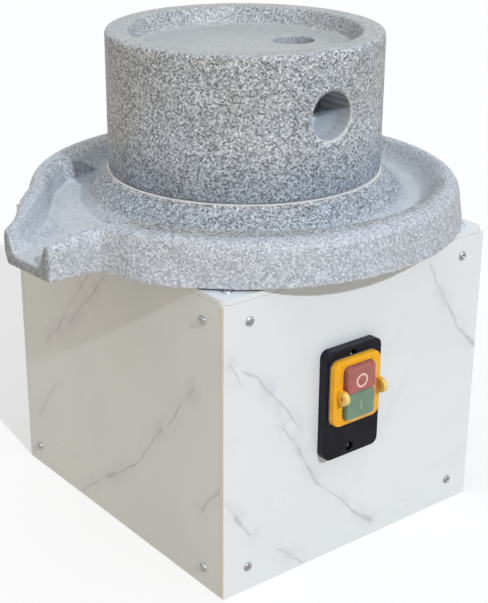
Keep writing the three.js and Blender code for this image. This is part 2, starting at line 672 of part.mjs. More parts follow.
// Pads and pins between cabinet and bedstone
for (let i = 0; i < 4; i++) {
  const angle = radians(45 + 90 * i);
  const pad = rod(PAD_RADIUS, CABINET_HEIGHT + GAP, CABINET_HEIGHT + GAP + PAD, SMALL_STEPS);
  const spot = [PAD_RING * Math.cos(angle), PAD_RING * Math.sin(angle), 0];
  place(`stone_pad_${i + 1}`, pad.translate(spot), rubber);
}
const pinTop = TRAY_BOTTOM + PIN_ENTRY;
const pinHeadTop = DECK_BOTTOM - GAP;
for (const [i, [x, y]] of pinPlaces.entries()) {
  const pin = turned([
    [0, pinHeadTop - PIN_HEAD_THICK], [PIN_HEAD, pinHeadTop - PIN_HEAD_THICK], [PIN_HEAD, pinHeadTop],
    [PIN_RADIUS, pinHeadTop], [PIN_RADIUS, pinTop], [0, pinTop],
  ], SMALL_STEPS);
  place(`locating_pin_${i + 1}`, pin.translate([x, y, 0]), zinc);
}

// Bedstone: a turned disc with its eye, out of which a trough with a leaning wall is turned off
// centre, and the grinding bed, whose sloping side comes down into the trough
const disc = turned([
  [EYE_RADIUS, TRAY_BOTTOM],
  [TRAY_RADIUS + TRAY_FLARE - TRAY_FOOT, TRAY_BOTTOM],
  [TRAY_RADIUS + TRAY_FLARE, TRAY_BOTTOM + TRAY_FOOT],
  ...arc([TRAY_RADIUS - RIM_ROUND, RIM_TOP - RIM_ROUND], RIM_ROUND, 0, 90, 4),
  [EYE_RADIUS, RIM_TOP],
  [EYE_RADIUS, TRAY_BOTTOM],
], STONE_STEPS);
const wallRise = THREE.MathUtils.radToDeg(Math.atan2(TROUGH_DEPTH, TROUGH_LEAN));
const cornerReach = Math.tan(radians(wallRise / 2)); // a corner's tangent length, as a share of its rounding
const footCentre = TROUGH_RADIUS - TROUGH_LEAN - TROUGH_ROUND * cornerReach;
const lipCentre = TROUGH_RADIUS + LIP_ROUND * cornerReach;
const trough = turned([
  [0, TROUGH_FLOOR],
  ...arc([footCentre, TROUGH_FLOOR + TROUGH_ROUND], TROUGH_ROUND, -90, wallRise - 90, 2),
  ...arc([lipCentre, RIM_TOP - LIP_ROUND], LIP_ROUND, wallRise + 90, 90, 3),
  [lipCentre, RIM_TOP + OVERRUN],
  [0, RIM_TOP + OVERRUN],
], STONE_STEPS).translate([-TROUGH_SHIFT, 0, 0]);
const bedFoot = BED_RADIUS + BED_SLOPE;
const bedLean = THREE.MathUtils.radToDeg(Math.atan2(BED_SLOPE, BED_TOP - TROUGH_FLOOR));
const bed = turned([
  [EYE_RADIUS, TROUGH_FLOOR - OVERRUN],
  [bedFoot, TROUGH_FLOOR - OVERRUN],
  [bedFoot, TROUGH_FLOOR],
  ...arc([BED_RADIUS - BED_ROUND, BED_TOP - BED_ROUND], BED_ROUND, bedLean, 90, 1),
  [EYE_RADIUS, BED_TOP],
  [EYE_RADIUS, TROUGH_FLOOR - OVERRUN],
], STONE_STEPS);

// How far along the spout a share of the reach lies, from 0 at its root to 1 at its end
const alongSpout = (share) => {
  const root = spout_plan_share[3][0];
  return Math.max(0, (share - root) / (1 - root));
};
const wallTopAt = (share) => RIM_TOP - GAP - SPOUT_LIP_DEPTH * alongSpout(share) ** 1.7;
const wallRoundAt = (share) => THREE.MathUtils.lerp(RIM_ROUND, SPOUT_ROUND, Math.min(1, alongSpout(share)));
const channelFloorAt = (share) => {
  const start = channel_plan_share[3][0];
  const end = TRAY_BOTTOM + SPOUT_FLOOR;
  return TROUGH_FLOOR - GAP + ((end - TROUGH_FLOOR) * Math.max(0, share - start)) / (1 - start);
};

// Outer block of the spout: chamfered below, rounded on the wall tops
const spoutHalf = SPOUT_WIDTH / 2;
const spoutBlock = loft(
  spout_plan_share.map(([reach, foot, near, far]) => {
    const [b, n, f] = [foot * spoutHalf, near * spoutHalf, far * spoutHalf];
    const [x, top] = [reach * SPOUT_REACH, wallTopAt(reach)];
    const round = wallRoundAt(reach);
    return [
      [x, -f + SPOUT_CHAMFER, TRAY_BOTTOM],
      [x, b - SPOUT_CHAMFER / 4, TRAY_BOTTOM],
      [x, b, TRAY_BOTTOM + SPOUT_CHAMFER / 4],
      ...arc([n - round, top - round], round, 0, 90, 3).map(([y, z]) => [x, y, z]),
      ...arc([-f + round, top - round], round, 90, 180, 3).map(([y, z]) => [x, y, z]),
      [x, -f, TRAY_BOTTOM + SPOUT_CHAMFER],
    ];
  }),
);
// Channel cutter: drafted walls with rounded lips, on a floor that falls from trough to end face
const channelHalf = spoutHalf - SPOUT_WALL;
const channelEnd = channel_plan_share.at(-1);
const runOut = [channelEnd[0] + OVERRUN / SPOUT_REACH, channelEnd[1], channelEnd[2]];
const channel = loft(
  [...channel_plan_share, runOut].map(([reach, near, far]) => {
    const [n, f, x] = [near * channelHalf, far * channelHalf, reach * SPOUT_REACH];
    const [floor, lip] = [channelFloorAt(reach), wallTopAt(reach)];
    const round = SPOUT_ROUND / 2;
    const lean = (SPOUT_LEAN * (lip - floor)) / TROUGH_DEPTH;
    const open = [lean + round, lean + round + OVERRUN + RIM_TOP - lip];
    return [
      [x, -f + round, floor],
      [x, n - round, floor],
      [x, n, floor + round],
      [x, n + lean, lip - round],
      [x, n + open[0], lip],
      [x, n + open[1], RIM_TOP + OVERRUN],
      [x, -f - open[1], RIM_TOP + OVERRUN],
      [x, -f - open[0], lip],
      [x, -f - lean, lip - round],
      [x, -f, floor + round],
    ];
  }),
);
const turnToSpout = (solid) => solid.rotate([0, 0, SPOUT_AZIMUTH]);
// Only the part of the spout outside the disc's flat top is added, so that it meets a round rim
const discTop = rod(TRAY_RADIUS - RIM_ROUND, TRAY_BOTTOM, RIM_TOP, STONE_STEPS);
const hollow = join(trough, channel).subtract(rod(bedFoot, TRAY_BOTTOM, TROUGH_FLOOR, STONE_STEPS));

// Dressing: each harp holds a master furrow and its parallels, which start a land's width off the
// next harp's master furrow and stop a land's width inside the edge
function furrows(hand, z0, z1) {
  const turn = (2 * Math.PI) / HARPS;
  return Array.from({ length: HARPS * FURROWS_PER_HARP }, (_, i) => {
    const [harp, line] = [Math.floor(i / FURROWS_PER_HARP), i % FURROWS_PER_HARP];
    const y = FURROW_OFFSET + line * FURROW_PITCH;
    const along = (y - FURROW_OFFSET * Math.cos(turn)) / Math.sin(turn);
    const meet = along * Math.cos(turn) - FURROW_OFFSET * Math.sin(turn);
    const start = line === 0 ? FURROW_START : Math.max(FURROW_START, meet + LAND_WIDTH + FURROW_WIDTH);
    const end = Math.sqrt((RUNNER_RADIUS - LAND_WIDTH) ** 2 - (y + FURROW_WIDTH / 2) ** 2);
    const furrow = box([start, hand * y - FURROW_WIDTH / 2, z0], [end, hand * y + FURROW_WIDTH / 2, z1]);
    return furrow.rotate([0, 0, (hand * harp * 360) / HARPS]);
  });
}

place(
  "lower_stone",
  cut(
    join(cut(join(disc, turnToSpout(spoutBlock.subtract(discTop))), turnToSpout(hollow)), bed),
    ...furrows(1, BED_TOP - FURROW_DEPTH, BED_TOP + OVERRUN),
    ...pinPlaces.map(([x, y]) =>
      rod(PIN_RADIUS + GAP, TRAY_BOTTOM - OVERRUN, pinTop + GAP, SMALL_STEPS).translate([x, y, 0]),
    ),
  ),
  granite,
);

// Bush that fills the eye round the spindle, standing on the deck through the lid's hole
const bushTop = BED_TOP - GAP;
place(
  "eye_bush",
  turned([
    [SPINDLE_RADIUS + SHAFT_FIT, DECK_TOP + GAP],
    [EYE_RADIUS - GAP + BUSH_COLLAR_WIDTH, DECK_TOP + GAP],
    [EYE_RADIUS - GAP + BUSH_COLLAR_WIDTH, DECK_TOP + GAP + BUSH_COLLAR],
    [EYE_RADIUS - GAP, DECK_TOP + GAP + BUSH_COLLAR],
    [EYE_RADIUS - GAP, bushTop],
    [SPINDLE_RADIUS + SHAFT_FIT, bushTop],
    [SPINDLE_RADIUS + SHAFT_FIT, DECK_TOP + GAP],
  ]),
  nylon,
);

// Spindle, drive bar across its head, and the nut that holds the bar
const barBottom = BED_TOP + BAR_LIFT;
const barTop = barBottom + BAR_HEIGHT;
const hubTop = barTop + HUB_RISE;
const studRadius = SPINDLE_RADIUS / 2;
const nutTop = hubTop + GAP + NUT_WASHER_THICK + NUT_HEIGHT;
place(
  "spindle",
  turned([
    [0, upperHubBottom + GAP * 6], [SPINDLE_RADIUS, upperHubBottom + GAP * 6],
    [SPINDLE_RADIUS, hubTop - GAP], [studRadius, hubTop - GAP], [studRadius, nutTop], [0, nutTop],
  ]),
  steel,
  spindleGroup,
);
const barHalf = BAR_LENGTH / 2;
place(
  "drive_bar",
  cut(
    join(
      prism(roundedRectangle(BAR_WIDTH, BAR_LENGTH, BAR_ROUND), barBottom, barTop),
      turned([
        [0, barBottom], [HUB_RADIUS, barBottom], [HUB_RADIUS, barTop],
        [HUB_RADIUS - HUB_RISE, hubTop], [0, hubTop],
      ]),
    ),
    rod(SPINDLE_RADIUS + SHAFT_FIT, barBottom - OVERRUN, hubTop + OVERRUN),
  ),
  steel,
  spindleGroup,
);
place(
  "drive_nut",
  cut(
    join(
      rod(NUT_WASHER, hubTop + GAP, hubTop + GAP + NUT_WASHER_THICK),
      rod(NUT_WIDTH / 2, hubTop + GAP + NUT_WASHER_THICK - WELD, nutTop, 6),
    ),
    rod(studRadius + SHAFT_FIT, hubTop - OVERRUN, nutTop + OVERRUN),
  ),
  zinc,
  spindleGroup,
);

// Runner stone: dished on top, relieved round its eye, with a feed hole, a lifting hole and the
// slot that drops over the drive bar
const dishRadius = RUNNER_RADIUS - DISH_RIM;
const runnerBody = turned([
  [0, RUNNER_BOTTOM + SWALLOW_DEPTH],
  [SWALLOW_RADIUS / 2, RUNNER_BOTTOM + SWALLOW_DEPTH],
  [SWALLOW_RADIUS, RUNNER_BOTTOM],
  [RUNNER_RADIUS - RUNNER_FOOT, RUNNER_BOTTOM],
  [RUNNER_RADIUS, RUNNER_BOTTOM + RUNNER_FOOT],
  ...arc([RUNNER_RADIUS - RUNNER_ROUND, RUNNER_TOP - RUNNER_ROUND], RUNNER_ROUND, 0, 90, 3),
  ...arc([dishRadius + DISH_LIP, RUNNER_TOP - DISH_LIP], DISH_LIP, 90, 170, 2),
  ...arc([dishRadius - DISH_LEAN - DISH_ROUND, DISH_FLOOR + DISH_ROUND], DISH_ROUND, 0, -90, 2),
  [0, DISH_FLOOR],
], STONE_STEPS);
const feedHole = rod(FEED_RADIUS, RUNNER_BOTTOM - OVERRUN, RUNNER_TOP, TURNED_STEPS)
  .translate([FEED_OFFSET, 0, 0])
  .rotate([0, 0, FEED_AZIMUTH]);
const handleHole = turned([
  [0, RUNNER_RADIUS - HANDLE_DEPTH],
  [HANDLE_RADIUS - DISH_ROUND, RUNNER_RADIUS - HANDLE_DEPTH],
  [HANDLE_RADIUS, RUNNER_RADIUS - HANDLE_DEPTH + DISH_ROUND],
  [HANDLE_RADIUS, RUNNER_RADIUS - 2 * HANDLE_CHAMFER],
  [HANDLE_RADIUS + HANDLE_CHAMFER + OVERRUN, RUNNER_RADIUS - HANDLE_CHAMFER + OVERRUN],
  [0, RUNNER_RADIUS - HANDLE_CHAMFER + OVERRUN],
], TURNED_STEPS)
  .rotate([0, 90, 0])
  .rotate([0, 0, HANDLE_AZIMUTH])
  .translate([0, 0, RUNNER_BOTTOM + HANDLE_RISE]);
const barSlot = prism(
  roundedRectangle(BAR_WIDTH + 2 * BAR_FIT, BAR_LENGTH + 2 * BAR_FIT, BAR_ROUND + BAR_FIT),
  RUNNER_BOTTOM - OVERRUN, barTop + BAR_FIT,
);
const hubPocket = rod(HUB_RADIUS + BAR_FIT, RUNNER_BOTTOM - OVERRUN, nutTop + NUT_ROOM);
place(
  "runner_stone",
  cut(
    runnerBody,
    feedHole,
    handleHole,
    barSlot,
    hubPocket,
    ...furrows(-1, RUNNER_BOTTOM - OVERRUN, RUNNER_BOTTOM + FURROW_DEPTH),
  ),
  granite,
  runnerGroup,
);

// Switch: black plate, yellow bezel with two ears, clear boot, two buttons, contact module
const windowWidth = BEZEL_WIDTH - 2 * BEZEL_SIDE;
const windowHeight = BEZEL_HEIGHT - 2 * BEZEL_END;
const bootBack = plateFront - GAP;
const bezelBack = bootBack - BOOT_FLANGE - GAP;
const bezelFront = bezelBack - BEZEL_DEPTH;
const bootFront = bezelFront - BOOT_RISE;
const buttonFront = bootFront + BOOT_WALL + BUTTON_TOP_FIT;
const bootOuter = [windowWidth - 2 * BOOT_SIDE_FIT, windowHeight - 2 * BOOT_SIDE_FIT];
const bootInner = bootOuter.map((side) => side - 2 * BOOT_WALL);
const buttonWidth = bootInner[0] - 2 * BOOT_SIDE_FIT;
const buttonHeight = (bootInner[1] - 2 * BOOT_SIDE_FIT - BUTTON_SPLIT) / 2;
const bootCorner = BEZEL_WINDOW_CORNER - BOOT_SIDE_FIT;

const screwSinks = switchScrewHeights.flatMap((z) => [
  rodAlongY(
    SWITCH_SCREW_RADIUS + GAP, [SWITCH_X, z],
    plateFront - OVERRUN, plateFront + SWITCH_SCREW_SINK + SWITCH_SCREW_HEAD,
  ),
  rodAlongY(SWITCH_SCREW_SHANK + GAP, [SWITCH_X, z], plateFront - OVERRUN, plateBack + OVERRUN),
]);
place(
  "switch_plate",
  cut(
    bevelledFacing(
      [PLATE_WIDTH, PLATE_HEIGHT, PLATE_CORNER, PLATE_BEVEL], [PLATE_X, PLATE_Z], plateFront, plateBack,
    ),
    prismFacing(
      roundedRectangle(windowWidth, windowHeight, BEZEL_WINDOW_CORNER),
      [SWITCH_X, BEZEL_Z], plateFront - OVERRUN, plateBack + OVERRUN,
    ),
    ...screwSinks,
  ),
  blackPlastic,
);

// An ear: a plate in Y and Z with a round, drilled end
function ear(side) {
  const x = SWITCH_X + (side * (BEZEL_WIDTH - BEZEL_SIDE)) / 2;
  const shape = new THREE.Shape();
  const reach = EAR_REACH - EAR_RADIUS;
  shape.moveTo(-BEZEL_DEPTH / 2, -EAR_RADIUS);
  shape.absarc(reach, 0, EAR_RADIUS, -Math.PI / 2, Math.PI / 2);
  shape.lineTo(-BEZEL_DEPTH / 2, EAR_RADIUS);
  const hole = new THREE.Path();
  hole.absarc(reach, 0, EAR_HOLE, 0, Math.PI * 2);
  shape.holes.push(hole);
  return prism(shape, -EAR_THICK / 2, EAR_THICK / 2, 6)
    .rotate([90, 0, 0])
    .rotate([0, 0, -90])
    .translate([x, bezelFront, BEZEL_Z]);
}
place(
  "switch_bezel",
  cut(
    join(
      bevelledFacing(
        [BEZEL_WIDTH, BEZEL_HEIGHT, BEZEL_CORNER, BEZEL_BEVEL], [SWITCH_X, BEZEL_Z], bezelFront, bezelBack,
      ),
      ear(-1),
      ear(1),
    ),
    prismFacing(
      roundedRectangle(windowWidth, windowHeight, BEZEL_WINDOW_CORNER),
      [SWITCH_X, BEZEL_Z], bezelFront - OVERRUN, bezelBack + OVERRUN,
    ),
  ),
  yellowPlastic,
);
place(
  "switch_boot",
  cut(
    join(
      prismFacing(
        roundedRectangle(BEZEL_WIDTH + BOOT_WALL, BEZEL_HEIGHT + BOOT_WALL, BEZEL_CORNER),
        [SWITCH_X, BEZEL_Z], bootBack - BOOT_FLANGE, bootBack,
      ),
      bevelledFacing(
        [...bootOuter, bootCorner, BUTTON_BEVEL * 1.5], [SWITCH_X, BEZEL_Z], bootFront, bootBack,
      ),
    ),
    prismFacing(
      roundedRectangle(...bootInner, bootCorner - BOOT_WALL),
      [SWITCH_X, BEZEL_Z], bootFront + BOOT_WALL, bootBack + OVERRUN,
    ),
  ),
  clearSilicone,
);
for (const [name, side, material, group] of [
  ["stop_button", 1, redPlastic, stopGroup],
  ["start_button", -1, greenPlastic, startGroup],
]) {
  const z = BEZEL_Z + (side * (buttonHeight + BUTTON_SPLIT)) / 2;
  const button = bevelledFacing(
    [buttonWidth, buttonHeight, BUTTON_CORNER, BUTTON_BEVEL],
    [SWITCH_X, z], buttonFront, buttonFront + BUTTON_DEPTH,
  );
  place(name, button, material, group);
}
// The module's nose reaches into the plate's window and stops a button's travel behind the buttons
const moduleNose = buttonFront + BUTTON_DEPTH + BUTTON_TRAVEL + GAP;
place(
  "switch_module",
  join(
    prismFacing(
      roundedRectangle(windowWidth - 2 * GAP, windowHeight - 2 * GAP, BEZEL_WINDOW_CORNER - GAP),
      [SWITCH_X, BEZEL_Z], moduleNose, plateBack + GAP + WELD,
    ),
    prismFacing(
      roundedRectangle(moduleWidth, moduleHeight, BEZEL_WINDOW_CORNER),
      [SWITCH_X, BEZEL_Z], plateBack + GAP, plateBack + MODULE_DEPTH,
    ),
  ),
  blackPlastic,
);
for (const [i, name] of ["switch_screw_top", "switch_screw_bottom"].entries()) {
  const z = switchScrewHeights[i];
  const headFront = plateFront + SWITCH_SCREW_SINK;
  const screw = join(
    rodAlongY(SWITCH_SCREW_RADIUS, [SWITCH_X, z], headFront, headFront + SWITCH_SCREW_HEAD - GAP),
    rodAlongY(SWITCH_SCREW_SHANK, [SWITCH_X, z], headFront + WELD, -INNER_Y),
  );
  place(name, screw, zinc);
}

// Run capacitor with its clip, and the terminal block, on the base plate
const floorTop = BASE_PLATE + GAP;
const clipBottom = floorTop + CAPACITOR_HEIGHT / 3;
place(
  "capacitor",
  rod(CAPACITOR_RADIUS, floorTop, floorTop + CAPACITOR_HEIGHT, TURNED_STEPS).translate([
    CAPACITOR_X, CAPACITOR_Y, 0,
  ]),
  castAlloy,
);
const clipInner = CAPACITOR_RADIUS + GAP;
const clipOuter = clipInner + CLIP_WALL;
place(
  "capacitor_clip",
  join(
    ring(clipInner, clipOuter, clipBottom, clipBottom + CLIP_HEIGHT),
    box(
      [clipInner + WELD, -CLIP_HEIGHT / 2, floorTop],
      [clipOuter + CLIP_WALL, CLIP_HEIGHT / 2, clipBottom + CLIP_HEIGHT],
    ),
    box(
      [clipInner + CLIP_WALL, -CLIP_HEIGHT / 2, floorTop],
      [clipInner + CLIP_FOOT, CLIP_HEIGHT / 2, floorTop + CLIP_WALL],
    ),
  ).translate([CAPACITOR_X, CAPACITOR_Y, 0]),
  zinc,
);
const wayPitch = TERMINAL_LENGTH / TERMINAL_WAYS;
const wayPlaces = Array.from({ length: TERMINAL_WAYS }, (_, i) => [
  TERMINAL_X, TERMINAL_Y + (i - (TERMINAL_WAYS - 1) / 2) * wayPitch,
]);
place(
  "terminal_block",
  cut(
    box(
      [TERMINAL_X - TERMINAL_WIDTH / 2, TERMINAL_Y - TERMINAL_LENGTH / 2, floorTop],
      [TERMINAL_X + TERMINAL_WIDTH / 2, TERMINAL_Y + TERMINAL_LENGTH / 2, floorTop + TERMINAL_HEIGHT],
    ),
    ...wayPlaces.map(([x, y]) =>
      rod(
        TERMINAL_SCREW,
        floorTop + TERMINAL_HEIGHT - TERMINAL_SCREW_DEPTH, floorTop + TERMINAL_HEIGHT + OVERRUN,
        HOLE_STEPS,
      ).translate([x, y, 0]),
    ),
  ),
  greyPlastic,
);

// Cable gland through the back board, and its lock nut inside. Its profile is turned on +Z and
// laid along Y with its dome outwards.
const alongY = (solid) => solid.rotate([-90, 0, 0]).translate([GLAND_X, 0, GLAND_Z]);
const glandBack = HALF_D + GAP;
const hex = rod(GLAND_BODY * 1.1, glandBack, glandBack + GLAND_HEX, 6);
place(
  "cable_gland",
  cut(
    join(
      alongY(turned([
        [0, INNER_Y - GAP - GLAND_NUT], [GLAND_THREAD, INNER_Y - GAP - GLAND_NUT], [GLAND_THREAD, glandBack],
        [GLAND_BODY, glandBack], [GLAND_BODY, glandBack + GLAND_LENGTH * 0.7],
        [GLAND_BODY * 0.85, glandBack + GLAND_LENGTH * 0.9], [GLAND_BODY * 0.6, glandBack + GLAND_LENGTH],
        [0, glandBack + GLAND_LENGTH],
      ], TURNED_STEPS)),
      alongY(hex),
    ),
    alongY(rod(GLAND_BORE, INNER_Y - GLAND_NUT - OVERRUN, glandBack + GLAND_LENGTH + OVERRUN, SMALL_STEPS)),
  ),
  blackPlastic,
);
place(
  "gland_nut",
  alongY(cut(
    rod(GLAND_BODY * 1.1, INNER_Y - GAP - GLAND_NUT, INNER_Y - GAP, 6),
    rod(GLAND_THREAD + GAP, INNER_Y - GLAND_NUT - OVERRUN, INNER_Y + OVERRUN, TURNED_STEPS),
  )),
  blackPlastic,
);

// Held cables inside the cabinet: a round section along a curve that leaves both ends squarely
function cable(from, leaving, to, arriving) {
  const section = new THREE.Shape();
  section.absarc(0, 0, CABLE_RADIUS, 0, Math.PI * 2);
  const [start, end] = [new THREE.Vector3(...from), new THREE.Vector3(...to)];
  const path = new THREE.CubicBezierCurve3(
    start,
    start.clone().addScaledVector(new THREE.Vector3(...leaving), CABLE_LEAD),
    end.clone().addScaledVector(new THREE.Vector3(...arriving), CABLE_LEAD),
    end,
  );
  return solidOf(new THREE.ExtrudeGeometry(section, { steps: 12, extrudePath: path, curveSegments: 4 }));
}
const terminalTop = floorTop + TERMINAL_HEIGHT;
place(
  "switch_cable",
  cable(
    [SWITCH_X, moduleBack - 2 * CABLE_RADIUS, BEZEL_Z - moduleHeight / 2 - GAP], [0, 0, -1],
    [TERMINAL_X, TERMINAL_Y - wayPitch / 2, terminalTop + GAP], [0, 0, 1],
  ),
  greyPlastic,
);
place(
  "motor_cable",
  cable(
    [GEARHEAD_OFFSET - MOTOR_RADIUS - GAP, 0, motorBottom + MOTOR_BAND / 2], [-1, 0, 0],
    [TERMINAL_X, TERMINAL_Y + wayPitch / 2, terminalTop + GAP], [0, 0, 1],
  ),
  greyPlastic,
);

const mill = new THREE.Group();
mill.add(cabinet, spindleGroup, runnerGroup, stopGroup, startGroup);

export default mill;
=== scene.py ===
"""Looks of an electric stone mill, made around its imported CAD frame."""

import json
import math
import random

import bmesh
import bpy
import numpy as np
from mathutils import Matrix, Vector, noise


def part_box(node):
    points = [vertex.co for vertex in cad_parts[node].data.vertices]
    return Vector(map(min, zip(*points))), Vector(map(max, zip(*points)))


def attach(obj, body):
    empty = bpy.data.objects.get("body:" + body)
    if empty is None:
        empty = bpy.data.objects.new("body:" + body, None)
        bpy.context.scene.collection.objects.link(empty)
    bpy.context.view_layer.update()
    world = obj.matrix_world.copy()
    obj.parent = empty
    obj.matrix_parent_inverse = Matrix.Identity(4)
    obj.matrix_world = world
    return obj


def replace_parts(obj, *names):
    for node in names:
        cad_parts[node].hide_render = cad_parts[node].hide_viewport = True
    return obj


MM = 0.001
X, Y, Z = range(3)
LOW, HIGH = range(2)

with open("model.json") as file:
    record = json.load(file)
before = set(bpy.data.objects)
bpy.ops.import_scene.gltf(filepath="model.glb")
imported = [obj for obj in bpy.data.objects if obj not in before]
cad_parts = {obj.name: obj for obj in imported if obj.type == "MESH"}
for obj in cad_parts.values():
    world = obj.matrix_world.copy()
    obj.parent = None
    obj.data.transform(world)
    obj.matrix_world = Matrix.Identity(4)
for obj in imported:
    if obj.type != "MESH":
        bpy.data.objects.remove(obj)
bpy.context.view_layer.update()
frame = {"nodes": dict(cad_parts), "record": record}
nodes = frame["nodes"]
body_of = {n: body for body, names in frame["record"]["behaviour"]["bodies"].items() for n in names}
slot_of = {part["node"]: part["material_slot"] for part in frame["record"]["subparts"]}


def corners(node):
    """The low and high corners of a node's box, in millimetres."""
    return [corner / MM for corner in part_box(node)]


# The stones' main sizes in millimetres, from the frame where it holds them

stone_low, stone_high = corners("lower_stone")
runner_low, runner_high = corners("runner_stone")
TRAY_REACH, TRAY_FOOT, BED_TOP = stone_high.x, stone_low.z, stone_high.z
RUNNER_REACH, RUNNER_FOOT, RUNNER_TOP = runner_high.x, runner_low.z, runner_high.z
SPOUT_REACH = -stone_low.x
SPOUT_SLANT = math.tan(math.radians(184))
BED_REACH = 127
RIM_TOP = BED_TOP - 7.3
TROUGH_FLOOR = RIM_TOP - 19
DISH_FLOOR = RUNNER_TOP - 17
HOLE_TURN = math.radians(-92)
HOLE_HEIGHT = RUNNER_FOOT + 69.4
HOLE_RADIUS = 21

# Node graphs


class Nodes:
    """A node tree whose nodes are joined as they are made. A value may be another node's output."""

    def __init__(self, tree):
        self.tree = tree
        tree.nodes.clear()

    def put(self, socket, value):
        if isinstance(value, bpy.types.NodeSocket):
            self.tree.links.new(value, socket)
        else:
            socket.default_value = value

    def add(self, kind, values=(), out=0, **settings):
        """Makes a node, sets its inputs and settings, and gives one of its outputs."""
        node = self.tree.nodes.new(kind)
        for key, value in settings.items():
            setattr(node, key, value)
        for key, value in dict(values).items():
            self.put(node.inputs[key], value)
        return node.outputs[out]

    def math(self, operation, *values, clamp=False):
        return self.add("ShaderNodeMath", enumerate(values), operation=operation, use_clamp=clamp)

    def times(self, first, *others):
        """The product of some values."""
        for other in others:
            first = self.math("MULTIPLY", first, other)
        return first

    def linear(self, value, low, high):
        """0 where a value is at low or beyond it, 1 at high, and even between them."""
        return self.add("ShaderNodeMapRange", {0: value, 1: low, 2: high})

    def between(self, value, low, high):
        """0 where a value is at low or beyond it, 1 at high, and smooth between them."""
        values = {0: value, 1: low, 2: high}
        return self.add("ShaderNodeMapRange", values, interpolation_type="SMOOTHSTEP")

    def blend(self, factor, a, b):
        """A number between two others."""
        return self.add("ShaderNodeMapRange", {0: factor, 3: a, 4: b})


class Graph(Nodes):
    """A material's nodes. Sizes, places and reaches are given in millimetres."""

    def __init__(self, name):
        self.material = bpy.data.materials.new(name)
        self.material.use_nodes = True
        super().__init__(self.material.node_tree)
        self.surface = self.tree.nodes.new("ShaderNodeOutputMaterial").inputs["Surface"]
        self.shader = self.tree.nodes.new("ShaderNodeBsdfPrincipled")
        self.tree.links.new(self.shader.outputs[0], self.surface)
        self.place = self.tree.nodes.new("ShaderNodeTexCoord").outputs["Object"]

    def vector(self, operation, *values, out="Vector"):
        return self.add("ShaderNodeVectorMath", enumerate(values), out=out, operation=operation)

    def axes(self, of=None):
        """The three parts of a vector, or of the place that is shaded."""
        split = self.tree.nodes.new("ShaderNodeSeparateXYZ")
        self.tree.links.new(of or self.place, split.inputs[0])
        return split.outputs

    def radius(self, a, b):
        """The length of two parts taken together."""
        return self.math("SQRT", self.math("ADD", self.times(a, a), self.times(b, b)))

    def noise(self, size, detail=2.0, rough=0.5, distortion=0.0, at=None, out="Fac"):
        """Noise whose features are about this size."""
        values = {
            "Vector": at or self.place,
            "Scale": 1 / (size * MM),
            "Detail": detail,
            "Roughness": rough,
            "Distortion": distortion,
        }
        return self.add("ShaderNodeTexNoise", values, out=out)

    def shift(self, size, detail, reach):
        """A vector that wanders about zero in patches of one size, by half of reach at most."""
        shake = self.vector("SUBTRACT", self.noise(size, detail, out="Color"), (0.5, 0.5, 0.5))
        return self.vector("MULTIPLY", shake, (reach * MM,) * 3)

    def grains(self, size, at):
        """A random grey for each cell of a mosaic whose cells are about this size."""
        values = {"Vector": at, "Scale": 1 / (size * MM)}
        colour = self.add("ShaderNodeTexVoronoi", values, out="Color")
        return self.add("ShaderNodeSeparateColor", {0: colour})

    def ramp(self, value, *stops, steps=False):
        """A colour or grey for a value from 0 to 1, from (place, colour) pairs."""
        node = self.tree.nodes.new("ShaderNodeValToRGB")
        band = node.color_ramp
        band.interpolation = "CONSTANT" if steps else "LINEAR"
        while len(band.elements) < len(stops):
            band.elements.new(0.5)
        for element, (place, colour) in zip(band.elements, stops):
            grey = isinstance(colour, (int, float))
            element.position = place
            element.color = (colour,) * 3 + (1,) if grey else (*colour, 1)
        self.tree.links.new(value, node.inputs[0])
        return node.outputs[0]

    def fade(self, place, band):
        """0 before the start of a band of places, and 1 from its end on."""
        start, end = band
        return self.between(place, start * MM, end * MM)

    def patchy(self, size, detail, a, b):
        """A number that wanders between two others in patches of one size."""
        return self.blend(self.noise(size, detail), a, b)

    def mix(self, factor, a, b, blend="MIX"):
        """A colour between two others."""
        node = self.tree.nodes.new("ShaderNodeMix")
        node.data_type, node.blend_type = "RGBA", blend
        for key, value in ((0, factor), (6, a), (7, b)):
            self.put(node.inputs[key], (*value, 1) if isinstance(value, tuple) else value)
        return node.outputs[2]

    def coat(self, cover, share, under, over):
        """A share of one colour laid over another where cover is 1."""
        return self.mix(self.times(cover, share), under, over)

    def tint_and_painted_shade(self, under, tint, cover=1):
        """A colour darkened or tinted by another where cover is 1. It lays tones and painted shade.
        """
        return self.mix(cover, under, tint, "MULTIPLY")

    def arris(self, reach):
        """1 near an edge of the surface and 0 away from it."""
        rounded = self.add("ShaderNodeBevel", {"Radius": reach * MM}, samples=4)
        flat = self.add("ShaderNodeNewGeometry", out="Normal")
        return self.between(self.vector("DOT_PRODUCT", rounded, flat, out="Value"), 0.998, 0.9)

    def bump(self, height, distance, strength):
        """A normal bent by heights from 0 to 1, which stand for a distance."""
        values = {"Height": height, "Distance": distance * MM, "Strength": strength}
        return self.add("ShaderNodeBump", values)

    def set(self, **values):
        """Sets the shader's own inputs, with spaces written as underscores."""
        for key, value in values.items():
            value = (*value, 1) if isinstance(value, tuple) and len(value) == 3 else value
            self.put(self.shader.inputs[key.replace("_", " ")], value)
        return self.material


# Granite: its grains' sizes in millimetres, and its colours

